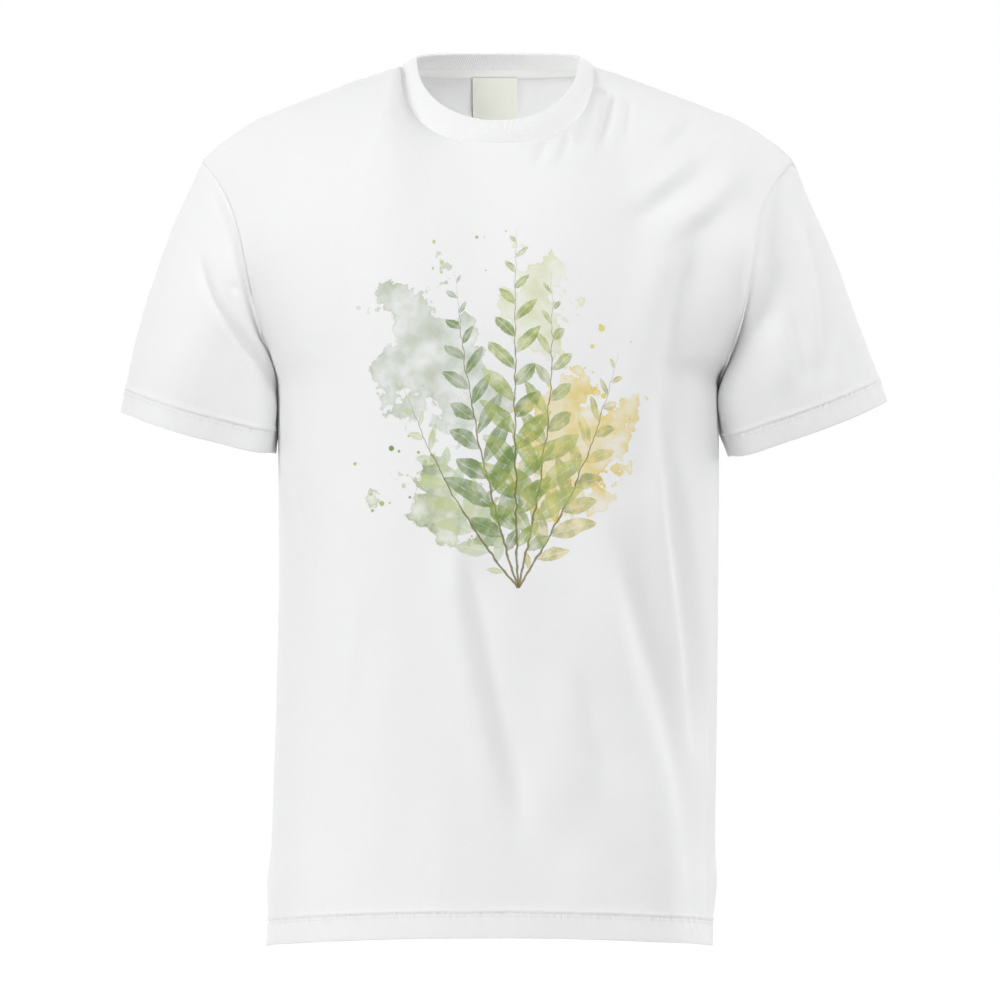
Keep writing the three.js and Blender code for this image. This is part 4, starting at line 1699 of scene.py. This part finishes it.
@dataclass
class BodyPanel:
    """The front or the back of the body, with its turned-up hem and its stitches.

    Attributes:
        seed: Settles its chance unevenness.
        flat_size: The width and length of the cloth that it is cut from; not used.
        flat_area: The area of the cut; not used.
        unevenness: The height of its long waves.
        edge_calm: How far from a side seam the folds have their full height.
        hem_calm: The distances above the hem's stitches between which the folds grow.
        hem_share: How much of their height is left at the hem's edge.
    """

    name: str
    cut: PanelCut
    creases: tuple[Crease, ...]
    seed: int
    flat_size: Place
    flat_area: float
    columns: int = 200
    lower_rows: int = 128
    upper_rows: int = 92
    hem_columns: int = 470
    hem: Hem = Hem(0.022)
    wall: float = 0.0009
    dips: SeamDips = SeamDips()
    unevenness: float = 0.0011
    edge_calm: float = 0.022
    hem_calm: Place = (-0.022, 0.05)
    hem_share: float = 0.45

    def levels(self, rows: np.ndarray, s: np.ndarray) -> np.ndarray:
        """Points of the panel's form.

        Args:
            rows: -1 at the hem's stitches, 0 at the armpits and 1 at the top edge.
            s: -1 to 1 across the panel.

        Returns:
            The points, one row for each of rows.
        """
        t, s = np.meshgrid(rows, s, indexing="ij")
        stitches = 1 - self.hem.width / FORM.side_length(self.cut, s)
        lower = FORM.lower_body(self.cut, s, np.clip(-t, 0, 1) * stitches)
        rising = np.clip(t, 0, 1)
        round_it = smooth(np.abs(s), 0, FORM.neck_share)
        level = blend(rising, np.sin(rising * math.pi / 2), round_it)
        upper = FORM.upper_body(self.cut, s, level)
        return np.where((t > 0)[..., None], upper, lower)

    def relief(self, grid: ClothGrid, hem_distance: np.ndarray, edges: np.ndarray) -> np.ndarray:
        """The height of all folds and puckers over the form.

        Args:
            grid: The cloth on its plain form.
            hem_distance: The distance of each point above the hem's stitches.
            edges: The distance of each point from the nearest side edge.

        Returns:
            The height of each point.
        """
        places = grid.points[..., [0, 2]]
        folds = sum(crease.height(places) for crease in self.creases)
        folds = folds + Undulation(self.seed, self.unevenness).at(places)
        folds = folds * smooth(edges, 0.0, self.edge_calm)
        folds = folds * blend(self.hem_share, 1.0, smooth(hem_distance, *self.hem_calm))
        sideways = smooth(np.abs(grid.outward[..., 0]), 0.5, 0.95)
        slack = 0.0024 * hill(hem_distance - 0.035, 0.020) - 0.0012 * hill(hem_distance, 0.006)
        return folds + sideways * slack + Pucker(self.seed).height(grid.flat[..., 0], hem_distance)

    def body_grid(self) -> ClothGrid:
        """Returns the cloth from the hem's stitches up to the shoulders and the neck."""
        s = edged(-1, 1, self.columns, (0.002, 0.005, 0.010))
        near_hem = (0.0008, 0.0017, 0.0028, 0.0042, 0.006, 0.0085, 0.0115)
        near_top = (0.003, 0.008, 0.016)
        lower = edged(-1, 0, self.lower_rows, near_hem)[:-len(near_hem)]
        upper = edged(0, 1, self.upper_rows, near_top)[len(near_top):]
        rows = np.concatenate([lower[lower < -0.004], [0.0], upper[upper > 0.004]])
        points = self.levels(rows, s)
        grid = ClothGrid.over(points, zero=(0.5, np.argmin(np.abs(rows)) / (len(rows) - 1)))
        columns_run, rows_run = grid.flat[..., 0], grid.flat[..., 1]
        edges = np.minimum(columns_run - columns_run[:, :1], columns_run[:, -1:] - columns_run)
        below_top = rows_run[-1:] - rows_run
        above_hem = rows_run - rows_run[:1]
        height = self.relief(grid, above_hem, edges) * smooth(below_top, 0, self.cut.top_calm)
        raised = grid.raised(height + self.seam_dips(rows, s, edges, below_top))
        if self.cut is BACK:
            return raised
        rise = np.sin(np.clip(rows, 0, 1) * math.pi / 2)
        points = raised.points
        for sleeve, end in ((SLEEVE_LEFT, 0), (SLEEVE_RIGHT, -1)):
            near = BULGE.on_body(np.abs(columns_run - columns_run[:, [end]]))
            points = points + BULGE.at(sleeve, rise)[:, None] * near[..., None]
        return replace(raised, points=points)

    def seam_dips(
        self, rows: np.ndarray, s: np.ndarray, edges: np.ndarray, below_top: np.ndarray
    ) -> np.ndarray:
        """The height lost or gained beside the seams.

        Args:
            rows: The grid's row values.
            s: The grid's column values.
            edges: The distance of each point from the nearest side edge.
            below_top: The distance of each point from the top edge.

        Returns:
            The height of each point.
        """
        dips = self.dips
        on_neck = (np.abs(s) <= FORM.neck_share)[None, :]
        depth_at_top = np.where(on_neck, dips.neck, dips.shoulder)
        height = -depth_at_top * np.exp(-below_top / dips.reach)
        side = -dips.side * np.exp(-edges / dips.reach)
        by_arm = smooth(rows, 0.0, 0.12) * (1 - smooth(rows, 0.75, 1.0))
        over = np.where(s > 0, self.cut.overhang[1], self.cut.overhang[0])[None, :]
        away = edges / dips.roll_reach
        roll = over * by_arm[:, None] * away * np.exp(1 - away)
        beside_neck = smooth(s, *dips.lift_from)[None, :] * on_neck
        lift = dips.neck_lift * beside_neck * np.exp(-below_top / dips.lift_reach)
        return height + side + roll + lift

    def hem_guide(self, distances: np.ndarray) -> ClothGrid:
        """Returns the cloth in rows at these distances above the hem's lower edge."""
        s = edged(-1, 1, self.hem_columns, (0.002,))
        distance, s = np.meshgrid(distances, s, indexing="ij")
        drop = 1 - distance / FORM.side_length(self.cut, s)
        points = FORM.lower_body(self.cut, s, drop)
        flat, outward = ClothGrid.over(points).flat, self.hem_normals(s, drop)
        grid = ClothGrid(points, flat, outward)
        run = flat[..., 0]
        edges = np.minimum(run - run[:, :1], run[:, -1:] - run)
        height = self.relief(grid, distance - self.hem.width, edges)
        height = height - self.dips.side * np.exp(-edges / self.dips.reach)
        return replace(grid, points=points + outward * height[..., None])

    def hem_normals(self, s: np.ndarray, drop: np.ndarray) -> np.ndarray:
        """Returns the outward normals of the form at these places."""
        step = 1e-4
        down = FORM.lower_body(self.cut, s, drop + step) - FORM.lower_body(self.cut, s, drop - step)
        inner = np.clip(s, -1 + step, 1 - step)
        after = FORM.lower_body(self.cut, inner + step, drop)
        across = after - FORM.lower_body(self.cut, inner - step, drop)
        return unit(np.cross(across, down)) * self.cut.face.value

    def build(self, wardrobe: Wardrobe, node: str) -> None:
        """Args:
            wardrobe: The materials.
            node: The CAD node that it replaces.
        """
        body = cloth_object(self.name, self.body_grid())
        give_wall(body, self.wall)
        soften(body)
        finish = wardrobe.printed if self.cut is FRONT else wardrobe.jersey
        dress(body, finish, "jersey", node)
        hem, thread = self.hem.build(self.name, self.hem_guide, wardrobe)


# -------------- the sleeves


@dataclass
class Sleeve:
    """One sleeve with its turned-up hem and its stitches.

    Attributes:
        tuck: How deep the cloth dips beside the armhole, as a share of the dip's reach.
        swell: How far the cloth stands out beside the front of its inner edge.
        seed: Settles its chance unevenness.
        swell_at: Where round the arm the swell is highest, and how far round it reaches.
        swell_from: The distances from the armhole between which the swell grows.
        tuck_reach: How far from the armhole the tuck is deepest, above and by the armpit.
        seam_dip: How deep the cloth dips into the armhole's seam, and how fast that ends.
        under_body: How far the sleeve runs on under the body's edge.
    """

    name: str
    cut: SleeveCut
    tuck: float
    swell: float
    seed: int
    flat_size: Place
    flat_area: float
    columns: int = 160
    rows: int = 84
    hem_columns: int = 330
    guide_rows: int = 24
    hem: Hem = Hem(0.020)
    swell_at: Place = (0.76, 0.10)
    swell_from: Place = (0.002, 0.035)
    tuck_reach: Place = (0.0035, 0.0125)
    seam_dip: Place = (0.0019, 0.0015)
    unevenness: float = 0.0009
    under_body: float = 0.0035
    wall: float = 0.0009

    def relief(
        self, grid: ClothGrid, turn: np.ndarray, above_stitches: np.ndarray, away: np.ndarray
    ) -> np.ndarray:
        """The height of folds, puckers and the armhole's tuck.

        Args:
            grid: The sleeve on its plain form.
            turn: Where each point lies round the arm, as for ShirtForm.sleeve.
            above_stitches: The distance of each point above the hem's stitches.
            away: The distance of each point from the armhole.

        Returns:
            The height of each point.
        """
        places = grid.points[..., [0, 2]]
        in_front = smooth(-grid.outward[..., 1], 0.0, 0.5)
        behind = smooth(grid.outward[..., 1], 0.0, 0.5)
        folds = sum(crease.height(places) for crease in SLEEVE_CREASES[self.cut.side])
        mirrored = sum(
            crease.height(places * np.array([-1, 1])) for crease in SLEEVE_CREASES[-self.cut.side]
        )
        uneven = Undulation(self.seed, self.unevenness, upright=0.6).at(places)
        calm = smooth(away, 0.0, 0.03) * blend(0.35, 1.0, smooth(above_stitches, -0.02, 0.04))
        height = calm * (folds * in_front + mirrored * 0.8 * behind + uneven)
        at, width = self.swell_at
        height += self.swell * hill(turn - at, width) * smooth(away, *self.swell_from)
        beyond = np.maximum(away, 0)
        reach = blend(*self.tuck_reach, smooth(1 - np.abs(1 - turn), 0.05, 0.85))
        height -= self.tuck * reach * in_front * (beyond / reach) * np.exp(1 - beyond / reach)
        height -= self.seam_dip[0] * np.exp(-beyond / self.seam_dip[1])
        return height + Pucker(self.seed).height(grid.flat[..., 0], above_stitches)

    def grid_at(self, turn: np.ndarray, along: np.ndarray) -> ClothGrid:
        """Returns the outer side for matching arrays of turn and along, armhole first."""
        points = FORM.sleeve(self.cut, turn, along)
        grid = ClothGrid.over(points, closed=True)
        length = FORM.sleeve_length(self.cut, turn)
        above = (1 - along) * length - self.hem.width
        height = self.relief(grid, turn, above, along * length)
        raised = grid.raised(height)
        rise = (1 - np.cos(math.pi * np.abs(1 - turn))) / 2
        reach = self.cut.bulge[1]
        near = (1 - smooth(along * length, -0.15 * reach, reach)) * (turn <= 1)
        return replace(raised, points=raised.points + BULGE.at(self.cut, rise) * near[..., None])

    def body_grid(self) -> ClothGrid:
        """Returns the cloth from under the body's edge to the hem's stitches."""
        turns = np.linspace(0, 2, self.columns + 1)
        length = FORM.sleeve_length(self.cut, turns)
        first, last = -self.under_body / length, 1 - self.hem.width / length
        shares = edged(0, 1, self.rows, (0.004, 0.009, 0.015, 0.022, 0.031))
        along = blend(first[None], last[None], shares[:, None])
        return self.grid_at(np.broadcast_to(turns, along.shape), along)

    def hem_guide(self, distances: np.ndarray) -> ClothGrid:
        """Returns the cloth in rows at these distances above the sleeve's mouth."""
        turns = np.linspace(0, 2, self.hem_columns + 1)
        steady = np.linspace(self.hem.width + 0.002, 0, self.guide_rows)
        length = FORM.sleeve_length(self.cut, turns)
        along = 1 - steady[:, None] / length[None]
        grid = self.grid_at(np.broadcast_to(turns, along.shape), along)
        where = np.interp(distances, steady[::-1], np.arange(self.guide_rows)[::-1])
        low = np.clip(where.astype(int), 0, self.guide_rows - 2)
        share = (where - low)[:, None, None]
        parts = [blend(v[low], v[low + 1], share) for v in (grid.points, grid.flat, grid.outward)]
        return ClothGrid(parts[0], parts[1], unit(parts[2]), closed=True)

    def build(self, wardrobe: Wardrobe, node: str) -> None:
        """Args:
            wardrobe: The materials.
            node: The CAD node that it replaces.
        """
        body = cloth_object(self.name, self.body_grid())
        give_wall(body, self.wall)
        soften(body)
        dress(body, wardrobe.jersey, "jersey", node)
        hem, thread = self.hem.build(self.name, self.hem_guide, wardrobe)


# -------------- the neck


@dataclass
class NeckBand:
    """The ribbed band round the neck, folded double."""

    ribs: int = 312
    steps_per_rib: int = 5
    width: float = 0.022
    rib_height: float = 0.00022
    sunk: float = 0.0016
    plain_rows: int = 8
    flat_size: Place = (0.56, 0.050)

    def guide(self, distances: np.ndarray) -> ClothGrid:
        """Returns the band's outer side in rows at these distances below its folded edge."""
        turns = np.linspace(-2, 2, self.ribs * self.steps_per_rib + 1)
        up, turn = np.meshgrid(1 - distances / self.width, turns, indexing="ij")
        points = FORM.band(turn, up)
        shares = np.linspace(0, 1, self.plain_rows + 1)
        steady, steady_turn = np.meshgrid(shares, turns, indexing="ij")
        plain = ClothGrid.over(FORM.band(steady_turn, steady), closed=True)
        where = np.clip(up[:, 0], 0, 1) * self.plain_rows
        low = np.clip(where.astype(int), 0, self.plain_rows - 1)
        outward = unit(
            blend(plain.outward[low], plain.outward[low + 1], (where - low)[:, None, None])
        )
        middle = plain.flat[self.plain_rows // 2, :, 0]
        flat = np.stack([np.broadcast_to(middle, turn.shape), up * self.width], axis=-1)
        wave = np.cos(2 * math.pi * self.ribs * (turn + 2) / 4)
        return ClothGrid(points + outward * (self.rib_height * wave)[..., None], flat, outward, True)

    def build(self, wardrobe: Wardrobe) -> None:
        band = FoldedBand(ply=0.0009, rows=12, round_rows=8).wrap(self.guide, self.width, self.sunk)
        piece = cloth_object("neckband_rib", band, tube=True)
        soften(piece)
        dress(piece, wardrobe.rib, "rib", "neckband")


@dataclass
class NeckTape:
    """The twill tape inside the back neck, and the bare label that hangs under it.

    Attributes:
        tape_reach: How far it runs to each side, as a share of the panel's top edge.
        label_shift: How far the label sits from the middle.
        label_hang: How much further inwards it hangs at its lower end.
        label_curl: How far its sides curl there.
    """

    tape_width: float = 0.008
    tape_below: float = 0.0015
    tape_reach: float = 0.43
    tape_wall: float = 0.0007
    label_width: float = 0.042
    label_length: float = 0.050
    label_below: float = 0.0085
    label_wall: float = 0.0006
    label_shift: float = -0.0025
    label_inset: float = 0.0032
    label_hang: float = 0.0022
    label_curl: float = 0.0009
    inset: float = 0.0017
    tape_bow: float = 0.0002

    def inside(self, s: np.ndarray, down: np.ndarray, inset: np.ndarray) -> np.ndarray:
        """Points on the inner side of the back neck.

        Args:
            s: -1 to 1 across the back panel.
            down: The distance below the neck seam.
            inset: The distance inwards from the back panel's outer side.

        Returns:
            The points.
        """
        seam = FORM.upper_body(BACK, s, np.ones(np.shape(s)))
        below = FORM.upper_body(BACK, s, np.full(np.shape(s), 0.85))
        run = unit(below - seam)
        inward = unit(-seam * np.array([1, 1, 0]))
        inward = unit(inward - run * (inward * run).sum(axis=-1, keepdims=True))
        return seam + run * down[..., None] + inward * inset[..., None]

    def build(self, wardrobe: Wardrobe) -> None:
        s = np.linspace(-self.tape_reach, self.tape_reach, 120)
        across = np.linspace(-1, 1, 9)
        side, s = np.meshgrid(across, s, indexing="ij")
        down = self.tape_below + self.tape_width * (side + 1) / 2
        inset = self.inset + self.tape_bow * (1 - side**2)
        tape = self.sheet("neck_tape_twill", self.inside(s, down, inset), self.tape_wall)
        dress(tape, wardrobe.tape, "tape", "neck_tape")
        half = self.label_width / 2
        x, share = np.meshgrid(np.linspace(-half, half, 25), np.linspace(0, 1, 31), indexing="xy")
        s = np.arcsin((x + self.label_shift) / FORM.neck_half_width) * 2 / math.pi * FORM.neck_share
        down = self.label_below + self.label_length * share
        curl = self.label_curl * np.sin(x / half * 2.2 + 0.6) * share
        inset = self.label_inset + self.label_hang * share**2 + curl
        label = self.sheet("neck_label_satin", self.inside(s, down, inset), self.label_wall)
        dress(label, wardrobe.label, "label", "neck_label")

    def sheet(self, name: str, points: np.ndarray, wall: float) -> bpy.types.Object:
        """Returns a small sheet, with its wall, that faces the neck."""
        grid = ClothGrid.over(points)
        grid = replace(grid, outward=-np.abs(grid.outward) * np.sign(points * [1, 1, 0]))
        piece = cloth_object(name, grid)
        give_wall(piece, wall)
        soften(piece)
        return piece


# -------------- studio


@dataclass(frozen=True)
class SoftLight:
    """A soft square light: where it stands, its power in watts, what it faces and its side."""

    name: str
    place: Spot
    power: float
    target: Spot = (0, 0, -0.383)
    size: float = 2.0

    def build(self) -> None:
        """Adds the light."""
        data = bpy.data.lights.new(self.name, "AREA")
        data.shape = "SQUARE"
        data.size = self.size
        data.energy = self.power
        light = bpy.data.objects.new(self.name, data)
        light.location = self.place
        toward = Vector(self.target) - Vector(self.place)
        light.rotation_euler = toward.to_track_quat("-Z", "Y").to_euler()
        light.visible_camera = False
        bpy.context.scene.collection.objects.link(light)


LIGHTS = (
    SoftLight("key", (-2.85, -2.4, 1.1), 68.0),
    SoftLight("front_top", (1.1, -2.7, 2.8), 83.0),
    SoftLight("front_fill", (2.0, -3.4, 0.2), 11.0),
    SoftLight("right_kicker", (3.9, 0.5, 0.6), 52.0),
    SoftLight("left_rim", (-3.9, 0.6, -0.2), 28.0),
    SoftLight("back_left", (-1.8, 3.2, 1.2), 70.0),
    SoftLight("back_right", (2.5, 2.6, 0.8), 25.0),
    SoftLight("neck_fill", (0.045, -0.030, -0.130), 0.112, (0.01, 0.070, -0.012), 0.08),
)


@dataclass(frozen=True)
class Studio:
    """A pale floor, soft lights and the camera."""

    camera_distance: float = 4.2
    aim: Place = (0.002, -0.383)
    lens: float = 171.0
    floor_z: float = -1.15

    def build(self) -> None:
        """Makes the studio."""
        scene = bpy.context.scene
        scene.view_settings.view_transform = "Standard"
        self.floor()
        self.world(scene)
        for light in LIGHTS:
            light.build()
        data = bpy.data.cameras.new("camera")
        data.lens = self.lens
        data.sensor_width = 36.0
        camera = bpy.data.objects.new("camera", data)
        camera.location = (self.aim[0], -self.camera_distance, self.aim[1])
        camera.rotation_euler = (math.pi / 2, 0, 0)
        scene.collection.objects.link(camera)
        scene.camera = camera

    def floor(self) -> None:
        """Adds the floor, which brightens into the white of the room."""
        deselect()
        bpy.ops.mesh.primitive_circle_add(
            vertices=96, radius=30, fill_type="NGON", location=(0, 0, self.floor_z)
        )
        floor = bpy.context.object
        floor.name = "studio_floor"
        material = bpy.data.materials.new("pale_floor")
        material.use_nodes = True
        graph = Graph(material.node_tree)
        shader = next(n for n in material.node_tree.nodes if n.type == "BSDF_PRINCIPLED")
        shader.inputs["Roughness"].default_value = 0.9
        x, y, _ = graph.split(graph.out(graph.add("ShaderNodeTexCoord"), "Object"))
        away = graph.math("SQRT", x * x + y * y)
        far = graph.ramp(away, 0.5, 3.0)
        graph.feed(shader.inputs["Base Color"], graph.mix(far, (0.85, 0.85, 0.85), (0, 0, 0)))
        graph.feed(shader.inputs["Emission Color"], graph.mix(far, (0, 0, 0), (1, 1, 1)))
        seen = graph.out(graph.add("ShaderNodeLightPath"), "Is Camera Ray")
        graph.feed(shader.inputs["Emission Strength"], graph.mix(seen, 0.2, 1.0, "FLOAT"))
        floor.data.materials.append(material)

    def world(self, scene: bpy.types.Scene) -> None:
        """Surrounds the shirt with a white room that lights it softly."""
        world = bpy.data.worlds.new("white_room")
        world.use_nodes = True
        scene.world = world
        graph = Graph(world.node_tree)
        background = next(n for n in world.node_tree.nodes if n.type == "BACKGROUND")
        background.inputs["Color"].default_value = (1, 1, 1, 1)
        seen = graph.out(graph.add("ShaderNodeLightPath"), "Is Camera Ray")
        graph.feed(background.inputs["Strength"], graph.mix(seen, 0.22, 1.0, "FLOAT"))


# -------------- the shirt


def main() -> None:
    """Builds the studio and the shirt, piece by piece."""
    logging.basicConfig(level=logging.INFO, format="%(name)s: %(message)s")
    Studio().build()
    wardrobe = Wardrobe()
    BodyPanel(
        "front_body", FRONT, FRONT_CREASES, seed=11, flat_size=(0.57, 0.76), flat_area=0.40
    ).build(wardrobe, "front_panel")
    BodyPanel(
        "back_body", BACK, BACK_CREASES, seed=23, flat_size=(0.57, 0.80), flat_area=0.42
    ).build(wardrobe, "back_panel")
    Sleeve(
        "sleeve_left_body", SLEEVE_LEFT, tuck=0.03, swell=0.010, seed=37,
        flat_size=(0.48, 0.24), flat_area=0.060,
    ).build(wardrobe, "sleeve_left")
    Sleeve(
        "sleeve_right_body", SLEEVE_RIGHT, tuck=0.42, swell=0.010, seed=41,
        flat_size=(0.48, 0.24), flat_area=0.060,
    ).build(wardrobe, "sleeve_right")
    NeckBand().build(wardrobe)
    NeckTape().build(wardrobe)


if __name__ == "__main__":
    main()
